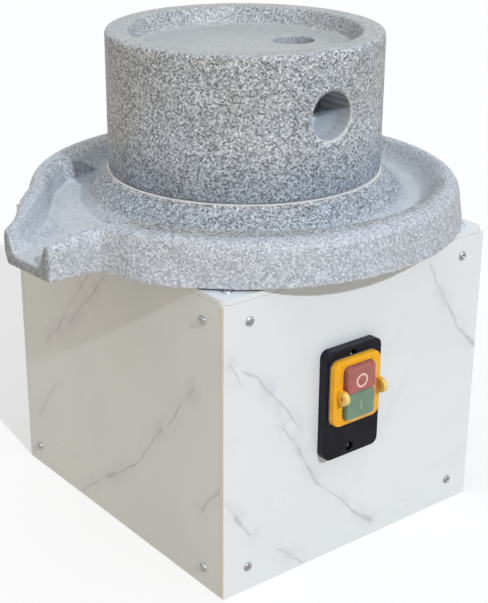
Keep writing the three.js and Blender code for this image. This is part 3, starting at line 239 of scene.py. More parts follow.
GRAIN_SIZES = (1.9, 1.4, 0.85)
CRYSTALS = (
    (0, (0.2, 0.212, 0.228)),
    (0.22, (0.33, 0.348, 0.372)),
    (0.5, (0.44, 0.458, 0.482)),
    (0.78, (0.56, 0.575, 0.595)),
)
BLACK_FLAKE, WHITE_FLAKE = (0.055, 0.06, 0.07), (0.76, 0.775, 0.785)
DUST = ((0, (0.1, 0.108, 0.12)), (1, (0.78, 0.8, 0.815)))
WARM_AND_COOL = ((0.36, (0.99, 1.0, 0.995)), (0.64, (0.945, 1.0, 1.065)))
# Pale edges: partly rubbed stone, partly a painted highlight
EDGE_WEAR_AND_HIGHLIGHT = (0.66, 0.68, 0.69)


def granite(name, wear_and_painted_light, gain=1.0):
    """Speckled grey granite: grey crystals, black and white flakes, and pale edges that are partly
    rubbed and partly a painted highlight. Its last argument paints the worn parts and the painted
    light and shade.
    """
    g = Graph(name)
    shaken = g.vector("ADD", g.place, g.shift(3, 2, 1.1))
    crystals, flakes, dust = (g.grains(size, shaken) for size in GRAIN_SIZES)
    grain = g.ramp(crystals, *CRYSTALS, steps=True)
    grain = g.mix(g.between(flakes, 0.2, 0.18), grain, BLACK_FLAKE)
    grain = g.mix(g.between(flakes, 0.85, 0.87), grain, WHITE_FLAKE)
    grain = g.mix(0.28, grain, g.ramp(dust, *DUST))
    grain = g.tint_and_painted_shade(grain, g.ramp(g.noise(70, 3), *WARM_AND_COOL))
    grain = g.tint_and_painted_shade(grain, g.ramp(g.noise(34, 4), (0.3, 0.9 * gain), (0.7, 1.06 * gain)))
    # Pale edges, partly rubbed and partly a painted highlight
    grain = g.coat(g.arris(1.4), g.patchy(5, 3, 0.0, 0.6), grain, EDGE_WEAR_AND_HIGHLIGHT)
    colour, worn = wear_and_painted_light(g, grain)
    pits = g.math("ADD", g.noise(1.1, 3), g.times(flakes, 0.4))
    gloss = g.math("SUBTRACT", g.patchy(18, 3, 0.38, 0.54), g.times(worn, 0.08))
    return g.set(Base_Color=colour, Roughness=gloss, IOR=1.5, Normal=g.bump(pits, 0.12, 0.5))


# The bedstone's wear and painted light: bands of places in millimetres, each from where it starts to
# where it is full

SPOUT_ROOT = (-180, -190)
SPOUT_SIDES = (30, 26)
TROUGH_EDGE = (190, 184)
FLOOR_CEILING = (TROUGH_FLOOR + 11, TROUGH_FLOOR + 3)
FLOOR_BASE = (TRAY_FOOT + 5.4, TRAY_FOOT + 9.4)
FLOOR_REACH = (BED_REACH, BED_REACH + 6)
BANK_HEIGHTS = (RIM_TOP - 0.5, RIM_TOP - 3)
BANK_REACH = (150, 160)
WALL_HEIGHTS = (RIM_TOP + 2, RIM_TOP + 1)
WALL_REACH = (TRAY_REACH - 20, TRAY_REACH - 15)
HEM_HEIGHTS = (TRAY_FOOT + 2.8, TRAY_FOOT + 1.4)
HEM_REACH = (TRAY_REACH - 6, TRAY_REACH - 3)
SLOPE_HEIGHTS = (BED_TOP - 1.3, BED_TOP - 4.3)
SLOPE_REACH = (160, 150)
BUTT_REACH = (16.7 - SPOUT_REACH, 8.7 - SPOUT_REACH)
SPOT_REACH = (150, 140)
RING_HEIGHTS = (BED_TOP - 0.9, BED_TOP - 0.4)
RING_REACH = (BED_REACH + 1, BED_REACH + 0.2)
PALE_WALL = (0.64, 0.7, 0.82)
# The foot edge's chips, which also stand as a painted highlight
HEM_CHIPS_AND_HIGHLIGHT = (0.84, 0.84, 0.84)
# Painted shade on the bed's sloping side
SLOPE_SHADE = (0.88, 0.93, 0.99)
# Painted shade on the spout's end face
BUTT_SHADE = (0.62, 0.64, 0.64)
FLOUR = ((0.52, 0.57, 0.62), (0.65, 0.7, 0.76))
PALE_SPOT = (0.8, 0.83, 0.85)
# A painted highlight round the bed's edge
PAINTED_RING_HIGHLIGHT = (0.86, 0.87, 0.87)


def bedstone_wear_and_painted_light(g, grain):
    """A pale floury trough and spout, a paler outer wall, a chipped foot edge that is also a painted
    highlight, painted shade on the bed's slope and on the spout's end, and a painted highlight round
    the bed's edge.
    """
    x, y, z = g.axes()
    reach = g.radius(x, y)
    normal = g.axes(g.add("ShaderNodeNewGeometry", out="Normal"))
    facing = g.math("ADD", g.times(normal[X], x), g.times(normal[Y], y))
    outward = g.math("DIVIDE", facing, reach)
    across = g.math("ABSOLUTE", g.math("SUBTRACT", y, g.times(x, SPOUT_SLANT)))
    spout = g.times(g.fade(x, SPOUT_ROOT), g.fade(across, SPOUT_SIDES))
    trough = g.math("MAXIMUM", g.fade(reach, TROUGH_EDGE), spout)
    floor = g.times(g.fade(z, FLOOR_CEILING), g.fade(z, FLOOR_BASE), g.fade(reach, FLOOR_REACH))
    floor = g.times(floor, trough, g.between(normal[Z], 0.35, 0.8))
    wall = g.times(g.fade(z, WALL_HEIGHTS), g.fade(reach, WALL_REACH), g.math("SUBTRACT", 1, floor))
    colour = g.coat(wall, g.patchy(40, 3, 0.26, 0.44), grain, PALE_WALL)
    # Pale broken foot edge: chips, and a painted highlight
    hem = g.times(g.fade(z, HEM_HEIGHTS), g.fade(reach, HEM_REACH))
    chips_and_glints = g.between(g.noise(6, 4), 0.46, 0.58)
    colour = g.coat(g.times(hem, chips_and_glints), 0.6, colour, HEM_CHIPS_AND_HIGHLIGHT)
    # Painted shade on the bed's sloping side
    slope = g.times(g.fade(reach, SLOPE_REACH), g.fade(z, SLOPE_HEIGHTS))
    colour = g.tint_and_painted_shade(colour, SLOPE_SHADE, slope)
    # Painted shade on the spout's end face
    butt = g.times(g.between(normal[X], -0.5, -0.85), g.fade(x, BUTT_REACH))
    colour = g.tint_and_painted_shade(colour, BUTT_SHADE, butt)
    flour = g.mix(g.noise(9, 4), *FLOUR)
    inward = g.between(outward, -0.1, -0.35)
    bank = g.times(inward, g.fade(z, BANK_HEIGHTS), g.fade(reach, BANK_REACH))
    colour = g.coat(bank, g.patchy(12, 4, 0.2, 0.45), colour, flour)
    colour = g.coat(floor, g.patchy(12, 4, 0.5, 0.82), colour, flour)
    spot = g.times(g.between(g.noise(15, 2), 0.7, 0.76), g.fade(reach, SPOT_REACH))
    colour = g.coat(spot, 0.6, colour, PALE_SPOT)
    # Painted highlight round the bed's edge, under the runner
    ring = g.times(g.fade(z, RING_HEIGHTS), g.fade(reach, RING_REACH), g.patchy(7, 3, 0.55, 1.0))
    return g.mix(ring, colour, PAINTED_RING_HIGHLIGHT), floor


# The runner's wear and painted light, in the same way

DISH_HEIGHTS = (DISH_FLOOR - 4.6, DISH_FLOOR - 1.6)
DISH_REACH = (107, 103)
# The runner's side is tinted darker and bluer towards the bottom
SKIRT_BOTTOM, SKIRT_TOP = 330, 410
SKIRT_TINTS = ((0, (0.73, 0.79, 0.88)), (0.55, (1.04, 1.06, 1.09)), (1, (1.0, 1.0, 1.0)))
CROWN_HEIGHTS = (RUNNER_TOP - 2.6, RUNNER_TOP - 1.1)
FEED_HEIGHTS = (DISH_FLOOR - 0.4, DISH_FLOOR - 1.2)
FEED_REACH = (84, 80)
LIP_HEIGHTS = (RUNNER_TOP - 1.4, RUNNER_TOP - 0.7)
LIP_REACH = (RUNNER_REACH - 2, RUNNER_REACH - 0.6)
FOOT_HEIGHTS = (RUNNER_FOOT + 0.7, RUNNER_FOOT + 0.3)
FOOT_REACH = (RUNNER_REACH - 6, RUNNER_REACH - 2)
CROWN_GREY = (0.42, 0.44, 0.44)
DISH_GREY = (0.44, 0.48, 0.52)
DISH_FLOUR = ((0.38, 0.405, 0.405), (0.5, 0.53, 0.53))
# Painted light on the feed hole's wall
FEED_PAINTED_LIGHT = (0.5, 0.52, 0.62)
# The rim edge's chips, which also stand as a painted highlight
LIP_CHIPS_AND_HIGHLIGHT = (0.86, 0.88, 0.89)
# Painted light along the runner's foot
PAINTED_FOOT_LIGHT = (0.8, 0.81, 0.81)


def runner_wear_and_painted_light(g, grain):
    """A floury dish, a rubbed rim, a chipped rim edge that is also a painted highlight, painted light
    along the foot and in the feed hole, and the lifting hole with its bright chamfer.
    """
    x, y, z = g.axes()
    reach = g.radius(x, y)
    upward = g.axes(g.add("ShaderNodeNewGeometry", out="Normal"))[Z]
    # Darker and bluer towards the bottom
    skirt = g.linear(z, SKIRT_BOTTOM * MM, SKIRT_TOP * MM)
    grain = g.tint_and_painted_shade(grain, g.ramp(skirt, *SKIRT_TINTS))
    crown = g.times(g.between(upward, 0.6, 0.95), g.fade(z, CROWN_HEIGHTS))
    grain = g.coat(crown, 0.5, grain, CROWN_GREY)
    dish = g.times(g.fade(reach, DISH_REACH), g.fade(z, DISH_HEIGHTS))
    floor = g.times(dish, g.between(upward, 0.4, 0.9))
    flour = g.mix(g.noise(16, 4, 0.6, 1.5), *DISH_FLOUR)
    colour = g.coat(dish, 0.25, grain, DISH_GREY)
    colour = g.coat(floor, g.patchy(12, 4, 0.5, 0.8), colour, flour)
    # Painted light on the feed hole's wall
    feed = g.times(g.fade(reach, FEED_REACH), g.fade(z, FEED_HEIGHTS))
    colour = g.coat(feed, 0.5, colour, FEED_PAINTED_LIGHT)
    # Pale broken rim edge: chips, and a painted highlight
    lip = g.times(g.fade(z, LIP_HEIGHTS), g.fade(reach, LIP_REACH))
    chips_and_glints = g.between(g.noise(8, 4), 0.48, 0.6)
    colour = g.coat(g.times(lip, chips_and_glints), 0.8, colour, LIP_CHIPS_AND_HIGHLIGHT)
    # Painted light along the runner's foot, by the joint with the bed
    foot = g.times(g.fade(z, FOOT_HEIGHTS), g.fade(reach, FOOT_REACH))
    colour = g.coat(foot, 0.8, colour, PAINTED_FOOT_LIGHT)
    return lifting_hole(g, colour, reach), floor


# The lifting hole's painted shadow and light

HOLE_SIDE = (-60, -70)
HOLE_ROOF = (HOLE_HEIGHT + 32, HOLE_HEIGHT + 28)
BORE_REACH = (RUNNER_REACH - 1, RUNNER_REACH - 2.5)
BORE_EDGE = (HOLE_RADIUS + 3, HOLE_RADIUS + 1.6)
BORE_MOUTH = (-102, -110)
# The bore's painted shadow and painted light, split along a sloping line
BORE_SLOPE = 0.32
BORE_SHADOW_LINE = (HOLE_HEIGHT + 6.5, HOLE_HEIGHT + 4)
BORE_PAINTED_SHADOW = (0.07, 0.075, 0.075)
BORE_PAINTED_LIGHT_DEEP = (0.74, 0.86, 1.0)
BORE_PAINTED_LIGHT_NEAR = (0.52, 0.58, 0.67)
CHAMFER_IN = (HOLE_RADIUS - 0.4, HOLE_RADIUS + 0.2)
CHAMFER_OUT = (HOLE_RADIUS + 1.6, HOLE_RADIUS + 1)
CUT_CHAMFER = (0.84, 0.86, 0.87)


def lifting_hole(g, colour, reach):
    """The bore is painted dark over a sloping line, as shadow, and pale under it, as light. Its
    chamfer is bright.
    """
    x, y, z = g.axes()
    along = g.math("ADD", g.times(x, -math.sin(HOLE_TURN)), g.times(y, math.cos(HOLE_TURN)))
    spread = g.radius(along, g.math("SUBTRACT", z, HOLE_HEIGHT * MM))
    near = g.times(g.fade(y, HOLE_SIDE), g.fade(z, HOLE_ROOF))
    bore = g.times(near, g.fade(reach, BORE_REACH), g.fade(spread, BORE_EDGE))
    # Painted light in the bore, paler deep inside
    pale = g.mix(g.fade(y, BORE_MOUTH), BORE_PAINTED_LIGHT_DEEP, BORE_PAINTED_LIGHT_NEAR)
    inset = g.math("ADD", y, (RUNNER_REACH - 1) * MM)
    sloped = g.math("ADD", z, g.times(inset, BORE_SLOPE))
    # Painted shadow over the sloping line, painted light under it
    inner = g.mix(g.fade(sloped, BORE_SHADOW_LINE), BORE_PAINTED_SHADOW, pale)
    colour = g.coat(bore, 0.85, colour, inner)
    chamfer = g.times(near, g.fade(spread, CHAMFER_IN), g.fade(spread, CHAMFER_OUT))
    return g.coat(chamfer, 0.45, colour, CUT_CHAMFER)


# Marble boards, with their veins as lines of (across, up) places in millimetres

FRONT_VEINS = (
    ((-129, 212), (-113, 201), (-97, 178), (-84, 163), (-66, 143)),
    ((-84, 146), (-71, 126), (-60, 105), (-51, 87), (-36, 69), (-14, 49), (5, 29), (24, 15)),
    ((82, 255), (93, 233), (108, 211), (123, 187), (149, 159)),
    ((-146, 95), (-133, 71), (-119, 53)),
    ((-89, 26), (-59, 2)),
    ((-143, 223), (-129, 197)),
)
LEFT_VEINS = (
    ((37, 239), (65, 205), (100, 163), (116, 146)),
    ((12, 246), (33, 221), (55, 197), (70, 180)),
    ((108, 102), (137, 61)),
    ((-124, 187), (-89, 142), (-58, 107), (-40, 84), (-10, 58), (34, 28), (67, 5)),
    ((-160, 110), (-132, 77)),
)
HALO_REACH = (15, 0)
THIN_VEIN, WIDE_VEIN = 1.5 * MM, 4.2 * MM
FILM_DEPTH, FILM_RAGGED = (0.3, 0.5), 0.5 * MM
FILM_WHITES = ((0.3, (0.73, 0.785, 0.83)), (0.5, (0.755, 0.81, 0.85)), (0.7, (0.78, 0.83, 0.865)))
SMOKE, HALO, VEIN = (0.66, 0.66, 0.75), (0.63, 0.64, 0.74), (0.47, 0.475, 0.5)
RAW_CORE = ((0.74, 0.71, 0.6), (0.93, 0.91, 0.82))
EDGE_GRIME = (0.62, 0.62, 0.6)


def vein_field(g, spot, veins):
    """Distance from a spot to the nearest of some broken lines."""
    nearest = None
    for line in veins:
        for (ax, az), (bx, bz) in zip(line, line[1:]):
            start = Vector((ax, az, 0)) * MM
            along = Vector((bx - ax, bz - az, 0)) * MM
            offset = g.vector("SUBTRACT", spot, tuple(start))
            share = g.vector("DOT_PRODUCT", offset, tuple(along / along.length_squared), out="Value")
            foot = g.vector("SCALE", tuple(along))
            g.put(foot.node.inputs["Scale"], g.math("ADD", share, 0, clamp=True))
            gap = g.vector("DISTANCE", offset, foot, out="Value")
            nearest = gap if nearest is None else g.math("MINIMUM", nearest, gap)
    return nearest


def veined(g, base, spot, veins):
    """Grey lines that swell and fade, each in a smoky halo."""
    gap = vein_field(g, spot, veins)
    billow = g.between(g.noise(28, 4, 0.6), 0.42, 0.66)
    base = g.coat(g.fade(gap, HALO_REACH), g.blend(billow, 0.06, 0.62), base, HALO)
    swell = g.between(g.noise(42, 2), 0.5, 0.68)
    thin = g.math("DIVIDE", gap, g.blend(swell, THIN_VEIN, WIDE_VEIN))
    fade = g.between(g.noise(24, 3), 0.3, 0.62)
    return g.coat(g.between(thin, 1.0, 0.0), g.blend(fade, 0.14, 0.72), base, VEIN)


def marble(name, axes, face, veins, banded):
    """A board with a printed marble film. axes are the two across its face and the one through
    it, and face is its outer side's place in metres. Unless banded, it has raw edges."""
    g = Graph(name)
    place = g.axes()
    across, up, depth = (place[axis] for axis in axes)
    flat = g.add("ShaderNodeCombineXYZ", {0: across, 1: up})
    base = g.ramp(g.noise(110, 4, 0.5, 0.4), *FILM_WHITES)
    smoke = g.between(g.noise(120, 4, 0.55, 0.8), 0.58, 0.74)
    base = g.coat(smoke, 0.3, base, SMOKE)
    if veins:
        spot = g.vector("MULTIPLY", g.vector("ADD", flat, g.shift(46, 3, 13)), (1, 1, 0))
        base = veined(g, base, spot, veins)
    if not banded:
        inward = math.copysign(1, -face)
        below = g.times(g.math("SUBTRACT", depth, face), inward)
        tear = g.times(g.math("SUBTRACT", g.noise(2.5, 3), 0.5), FILM_RAGGED)
        core = g.mix(g.noise(1.4, 3), *RAW_CORE)
        base = g.mix(g.fade(g.math("ADD", below, tear), FILM_DEPTH), base, core)
    base = g.coat(g.arris(1.2), g.patchy(8, 4, 0.0, 0.35), base, EDGE_GRIME)
    ripple = g.bump(g.noise(45, 2), 0.15, 0.25)
    return g.set(Base_Color=base, Roughness=g.patchy(30, 3, 0.2, 0.3), IOR=1.48, Normal=ripple)


# Plastics, metals and the rest


def moulded(name, colour, deep, rough, worn=None, shine=0.5, tips=None):
    """Moulded plastic, rubber or nylon: a slow change of tone, a fine skin and rubbed edges.
    tips gives a band along Y and the paler colour that it takes through that band."""
    g = Graph(name)
    base = g.mix(g.ramp(g.noise(14, 3), (0.35, 0.0), (0.65, 1.0)), deep, colour)
    if worn:
        base = g.coat(g.arris(0.8), g.patchy(3, 3, 0.1, 0.8), base, worn)
    if tips:
        band, pale = tips
        base = g.coat(g.fade(g.axes()[Y], band), 0.7, base, pale)
    gloss = g.patchy(9, 3, rough - 0.05, rough + 0.07)
    skin = g.bump(g.noise(0.25, 2), 0.03, 0.5)
    return g.set(Base_Color=base, Roughness=gloss, IOR=1.48, Specular_IOR_Level=shine, Normal=skin)


def metal(name, colour, dark, rough, lines=0.0, worn=None, metallic=1.0):
    """Turned, cast, plated or painted metal, with stained patches and rubbed edges."""
    g = Graph(name)
    base = g.mix(g.ramp(g.noise(11, 4), (0.38, 0.0), (0.66, 1.0)), dark, colour)
    if worn:
        base = g.coat(g.arris(0.8), g.patchy(3, 3, 0.1, 0.9), base, worn)
    squeezed = g.vector("MULTIPLY", g.place, (1, 1, 14 if lines else 1))
    tooling = g.bump(g.noise(0.9, 3, at=squeezed), 0.05, 0.3 + lines)
    gloss = g.patchy(6, 3, rough - 0.06, rough + 0.1)
    return g.set(Base_Color=base, Metallic=metallic, Roughness=gloss, Normal=tooling)


def hazy_boot(name):
    """Soft clear plastic: hazy all over, and denser where it is seen edge on."""
    g = Graph(name)
    tone = g.mix(g.noise(7, 3), (0.72, 0.70, 0.62), (0.9, 0.89, 0.84))
    facing = g.add("ShaderNodeLayerWeight", {"Blend": 0.35}, out="Facing")
    edge_on = g.ramp(facing, (0.0, 0.07), (0.5, 0.11), (0.75, 0.3), (1.0, 0.75))
    haze = g.math("ADD", edge_on, g.patchy(5, 3, -0.05, 0.05))
    gloss = g.patchy(4, 2, 0.16, 0.28)
    dents = g.bump(g.noise(6, 3), 0.2, 0.4)
    g.set(IOR=1.4, Specular_IOR_Level=0.3)
    return g.set(Base_Color=tone, Alpha=haze, Roughness=gloss, Normal=dents)


EAR_TIPS = ((-186.5, -191), (0.84, 0.72, 0.3))
finish = {
    "frame_steel": metal(
        "primed_steel",
        colour=(0.05, 0.055, 0.062),
        dark=(0.03, 0.034, 0.04),
        rough=0.5,
        worn=(0.2, 0.2, 0.21),
        metallic=0.3,
    ),
    "steel": metal(
        "turned_steel",
        colour=(0.55, 0.56, 0.57),
        dark=(0.4, 0.41, 0.42),
        rough=0.32,
        lines=0.4,
        worn=(0.75, 0.75, 0.76),
    ),
    "zinc": metal(
        "bright_zinc",
        colour=(0.66, 0.68, 0.71),
        dark=(0.4, 0.42, 0.46),
        rough=0.22,
        worn=(0.9, 0.9, 0.92),
    ),
    "cast_alloy": metal(
        "cast_alloy",
        colour=(0.58, 0.59, 0.6),
        dark=(0.42, 0.43, 0.44),
        rough=0.45,
        worn=(0.75, 0.75, 0.76),
    ),
    "motor_paint": metal(
        "motor_paint",
        colour=(0.03, 0.033, 0.036),
        dark=(0.018, 0.02, 0.022),
        rough=0.42,
        worn=(0.14, 0.14, 0.15),
        metallic=0.2,
    ),
    "rubber": moulded(
        "rubber",
        colour=(0.02, 0.02, 0.022),
        deep=(0.012, 0.012, 0.013),
        rough=0.7,
        worn=(0.06, 0.06, 0.06),
    ),
    "nylon": moulded(
        "natural_nylon",
        colour=(0.8, 0.77, 0.68),
        deep=(0.7, 0.66, 0.56),
        rough=0.45,
    ),
    "black_plastic": moulded(
        "black_plastic",
        colour=(0.006, 0.0075, 0.017),
        deep=(0.004, 0.005, 0.011),
        rough=0.36,
        worn=(0.045, 0.048, 0.065),
        shine=0.22,
    ),
    "yellow_plastic": moulded(
        "yellow_plastic",
        colour=(0.92, 0.47, 0.014),
        deep=(0.84, 0.38, 0.01),
        rough=0.36,
        worn=(0.96, 0.62, 0.1),
        shine=0.4,
        tips=EAR_TIPS,
    ),
    "clear_boot": hazy_boot("hazy_boot"),
    "red_plastic": moulded(
        "red_plastic",
        colour=(0.46, 0.026, 0.026),
        deep=(0.32, 0.016, 0.02),
        rough=0.4,
        shine=0.25,
    ),
    "green_plastic": moulded(
        "green_plastic",
        colour=(0.075, 0.25, 0.145),
        deep=(0.05, 0.19, 0.11),
        rough=0.4,
        shine=0.25,
    ),
    "grey_plastic": moulded(
        "grey_plastic",
        colour=(0.6, 0.6, 0.58),
        deep=(0.52, 0.52, 0.5),
        rough=0.45,
    ),
}
# Dark screw heads whose pale worn edges also stand as painted glints
dark_zinc = metal(
    "dark_zinc",
    colour=(0.16, 0.165, 0.18),
    dark=(0.06, 0.062, 0.07),
    rough=0.2,
    worn=(0.95, 0.95, 0.97),
)
pale_pink = moulded("pale_pink_mark", (0.95, 0.6, 0.55), (0.9, 0.52, 0.48), 0.4)
pale_green = moulded("pale_green_mark", (0.2, 0.48, 0.26), (0.16, 0.42, 0.22), 0.4)

# Pieces and their meshes


def new_piece(name, mesh):
    piece = bpy.data.objects.new(name, mesh)
    bpy.context.scene.collection.objects.link(piece)
    return piece


def settle(piece):
    """Applies a piece's modifiers."""
    view = bpy.context.evaluated_depsgraph_get()
    mesh = bpy.data.meshes.new_from_object(piece.evaluated_get(view))
    piece.modifiers.clear()
    piece.data = mesh


def dress(piece, material, body):
    """Gives a piece its material and slot, and the body that it moves with."""
    piece.data.materials.clear()
    piece.data.materials.append(material)
    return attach(piece, body)


def smooth(mesh, angle=38):
    """Shades a mesh smooth but for its edges that are sharper than an angle."""
    mesh.shade_smooth()
    mesh.set_sharp_from_angle(angle=math.radians(angle))


def bevelled(piece, width, segments, angle):
    """Rounds a piece's edges that are sharper than an angle."""
    bevel = piece.modifiers.new("edges", "BEVEL")
    bevel.width, bevel.segments, bevel.limit_method = width * MM, segments, "ANGLE"
    bevel.angle_limit = math.radians(angle)
    settle(piece)


def finished(work, name):
    """The mesh of a closed work, with its faces turned outward."""
    bmesh.ops.recalc_face_normals(work, faces=work.faces)
    mesh = bpy.data.meshes.new(name)
    work.to_mesh(mesh)
    work.free()
    return mesh


def joined(work, low, high):
    """A strip of faces between two loops of vertices."""
    for i in range(len(low)):
        j = (i + 1) % len(low)
        work.faces.new((low[i], low[j], high[j], high[i]))


MERGE_REACH = 0.002 * MM
FLAT_ANGLE = math.radians(0.5)


def refined(node, name, material, edge):
    """A copy of a node's solid, its sharp edges rounded by some millimetres, standing for it."""
    mesh = nodes[node].data.copy()
    work = bmesh.new()
    work.from_mesh(mesh)
    bmesh.ops.remove_doubles(work, verts=work.verts, dist=MERGE_REACH)
    bmesh.ops.dissolve_limit(work, angle_limit=FLAT_ANGLE, verts=work.verts, edges=work.edges)
    work.to_mesh(mesh)
    work.free()
    piece = new_piece(name, mesh)
    bevelled(piece, edge, segments=3, angle=32)
    smooth(piece.data)
    piece.modifiers.new("flats", "WEIGHTED_NORMAL").keep_sharp = True
    settle(piece)
    dress(piece, material, body_of[node])
    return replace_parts(piece, node)


# Worked stone: its mesh, its easing, and its uneven and chipped skin, in millimetres

VOXEL = 1.3
SWEEP_PASSES, ARRIS_PASSES = 40, 2
BROAD_SIZE, BROAD_DEPTH = 14, 0.05
SMALL_SIZE, SMALL_DEPTH = 2.6, 0.035
CHIP_SIZE, CHIP_DEPTH, CHIP_START, CHIP_DROP = 5, 1.3, 0.12, 0.12


def triples(mesh, key):
    """A vertex attribute of three numbers, as rows."""
    values = np.empty(len(mesh.vertices) * 3)
    mesh.vertices.foreach_get(key, values)
    return values.reshape(-1, 3)


def neighbours_mean(mesh, places):
    """Each vertex's mean neighbour, for smoothing."""
    pairs = np.empty(len(mesh.edges) * 2, np.int64)
    mesh.edges.foreach_get("vertices", pairs)
    pairs = pairs.reshape(-1, 2)
    total, count = np.zeros_like(places), np.zeros(len(places))
    for a, b in ((0, 1), (1, 0)):
        np.add.at(total, pairs[:, a], places[pairs[:, b]])
        np.add.at(count, pairs[:, a], 1)
    return total / count[:, None]


def eased(mesh, places, weights, passes):
    """Places drawn towards their neighbours' mean, by each one's weight."""
    for _ in range(passes):
        places = places + weights[:, None] * (neighbours_mean(mesh, places) - places)
    return places


def skin_depths(places, seed, drop, worn):
    """How deep the skin lies at each place: uneven all over, and chipped on worn arrises."""
    depths = np.empty(len(places))
    for i, place in enumerate(places):
        spot = Vector(place) + Vector((seed, 0, 0))
        broad = noise.noise(spot / (BROAD_SIZE * MM)) + 1
        small = noise.noise(spot / (SMALL_SIZE * MM)) + 1
        sharp = min(max(drop[i] / (CHIP_DROP * MM), 0.0), 1.0)
        chip = max(0.0, noise.noise(spot / (CHIP_SIZE * MM)) - CHIP_START) * sharp
        depths[i] = BROAD_DEPTH * broad + SMALL_DEPTH * small + CHIP_DEPTH * chip * worn[i]
    return depths * MM


def carved(node, name, material, seed, softness, sweep=None):
    """A node's solid as worked stone: a fine mesh, soft arrises and an uneven, chipped skin.
    softness says how far arrises are worn, and sweep how strongly a wall is evened out."""
    piece = new_piece(name, nodes[node].data.copy())
    remesh = piece.modifiers.new("grid", "REMESH")
    remesh.mode, remesh.voxel_size, remesh.adaptivity = "VOXEL", VOXEL * MM, 0
    settle(piece)
    wrap = piece.modifiers.new("wrap", "SHRINKWRAP")
    wrap.target, wrap.wrap_method = nodes[node], "NEAREST_SURFACEPOINT"
    settle(piece)
    mesh = piece.data
    true = triples(mesh, "co")
    if sweep:
        true = eased(mesh, true, sweep(true / MM), SWEEP_PASSES)
    worn = softness(true / MM)
    places = eased(mesh, true, 0.5 * worn, ARRIS_PASSES)
    normals = triples(mesh, "normal")
    drop = ((true - places) * normals).sum(1)
    places -= normals * skin_depths(places, seed, drop, worn)[:, None]
    mesh.vertices.foreach_set("co", places.ravel())
    mesh.update()
    mesh.shade_smooth()
    dress(piece, material, body_of[node])
    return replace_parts(piece, node)


def fade(values, start, end):
    """0 before the start of a band, and 1 from its end on."""
    return np.clip((values - start) / (end - start), 0, 1)


def bedstone_softness(places):
    """The bed's edge stays crisp under the runner, and so does the spout's end."""
    x, y, z = places.T
    reach = np.hypot(x, y)
    bed_edge = fade(reach, BED_REACH - 9, BED_REACH - 6) * fade(reach, BED_REACH + 6, BED_REACH + 3)
    bed_edge = bed_edge * fade(z, BED_TOP - 5.3, BED_TOP - 2.3)
    spout_end = fade(x, 49.7 - SPOUT_REACH, 29.7 - SPOUT_REACH)
    return 1 - np.maximum(0.8 * bed_edge, 0.75 * spout_end)


def bedstone_sweep(places):
    """The outer wall beside the spout runs into it in one curve."""
    x, y, z = places.T
    beside = fade(x, -70, -110) * fade(np.hypot(x, y), TRAY_REACH - 16, TRAY_REACH - 10)
    wall = fade(z, TRAY_FOOT + 1.9, TRAY_FOOT + 5.4) * fade(z, RIM_TOP - 2.5, RIM_TOP - 6)
    return 0.5 * beside * wall


def runner_softness(places):
    """The foot stays crisp over the bed, and the rim and the lifting hole's edge fairly so."""
    x, y, z = places.T
    foot = fade(z, RUNNER_FOOT + 4.4, RUNNER_FOOT + 2.4)
    rim = fade(z, RUNNER_TOP - 5.6, RUNNER_TOP - 3.6)
    spread = np.hypot(y * math.cos(HOLE_TURN) - x * math.sin(HOLE_TURN), z - HOLE_HEIGHT)
    hole = fade(spread, HOLE_RADIUS + 5, HOLE_RADIUS + 3) * fade(y, -100, -110)
    return 1 - np.maximum.reduce([0.8 * foot, 0.6 * rim, 0.8 * hole])


# Screws and marks


def turned(profile, steps=40):
    """A mesh turned about Z from (radius, height) points in millimetres. One on the axis is a tip."""
    work = bmesh.new()
    rings = []
    for radius, height in profile:
        if radius == 0:
            rings.append([work.verts.new((0, 0, height * MM))])
            continue
        turns = (2 * math.pi * i / steps for i in range(steps))
        spots = ((radius * math.cos(t), radius * math.sin(t), height) for t in turns)
        rings.append([work.verts.new(Vector(spot) * MM) for spot in spots])
    for low, high in zip(rings, rings[1:]):
        for i in range(steps):
            j = (i + 1) % steps
            lower = [low[i % len(low)], low[j % len(low)]]
            upper = [high[j % len(high)], high[i % len(high)]]
            work.faces.new(list(dict.fromkeys(lower + upper)))
    return finished(work, "turned")


# A recess's two ends: the height over the head's top in depths, and the share of its reach

RECESS_ENDS = ((-1, 0.35), (1, 1.45))
RECESS_WIDTH, RECESS_REACH, RECESS_DEPTH = 0.26, 0.5, 0.8
RECESS_TAPER = 0.3


def cross_cutter(width, reach, depth, top):
    """A tapered cross, for a screw's recess."""
    work = bmesh.new()
    for turn in (0, math.pi / 2):
        around = []
        for side, share in RECESS_ENDS:
            half = width / 2 * (1 - RECESS_TAPER * (1 - share))
            for sx, sy in ((-1, -1), (1, -1), (1, 1), (-1, 1)):
                spot = Vector((sx * reach * share, sy * half, top + side * depth)) * MM
                around.append(work.verts.new(Matrix.Rotation(turn, 3, "Z") @ spot))
        low, high = around[:4], around[4:]
        work.faces.new(low[::-1])
        work.faces.new(high)
        joined(work, low, high)
    return finished(work, "cross")


# A screw head's rim and crown

HEAD_RIM, RIM_EASE, RIM_LIFT = 0.3, 0.25, 0.02
CROWN_SHARE, CROWN_STEPS, CROWN_RISE = 0.58, 7, 0.05


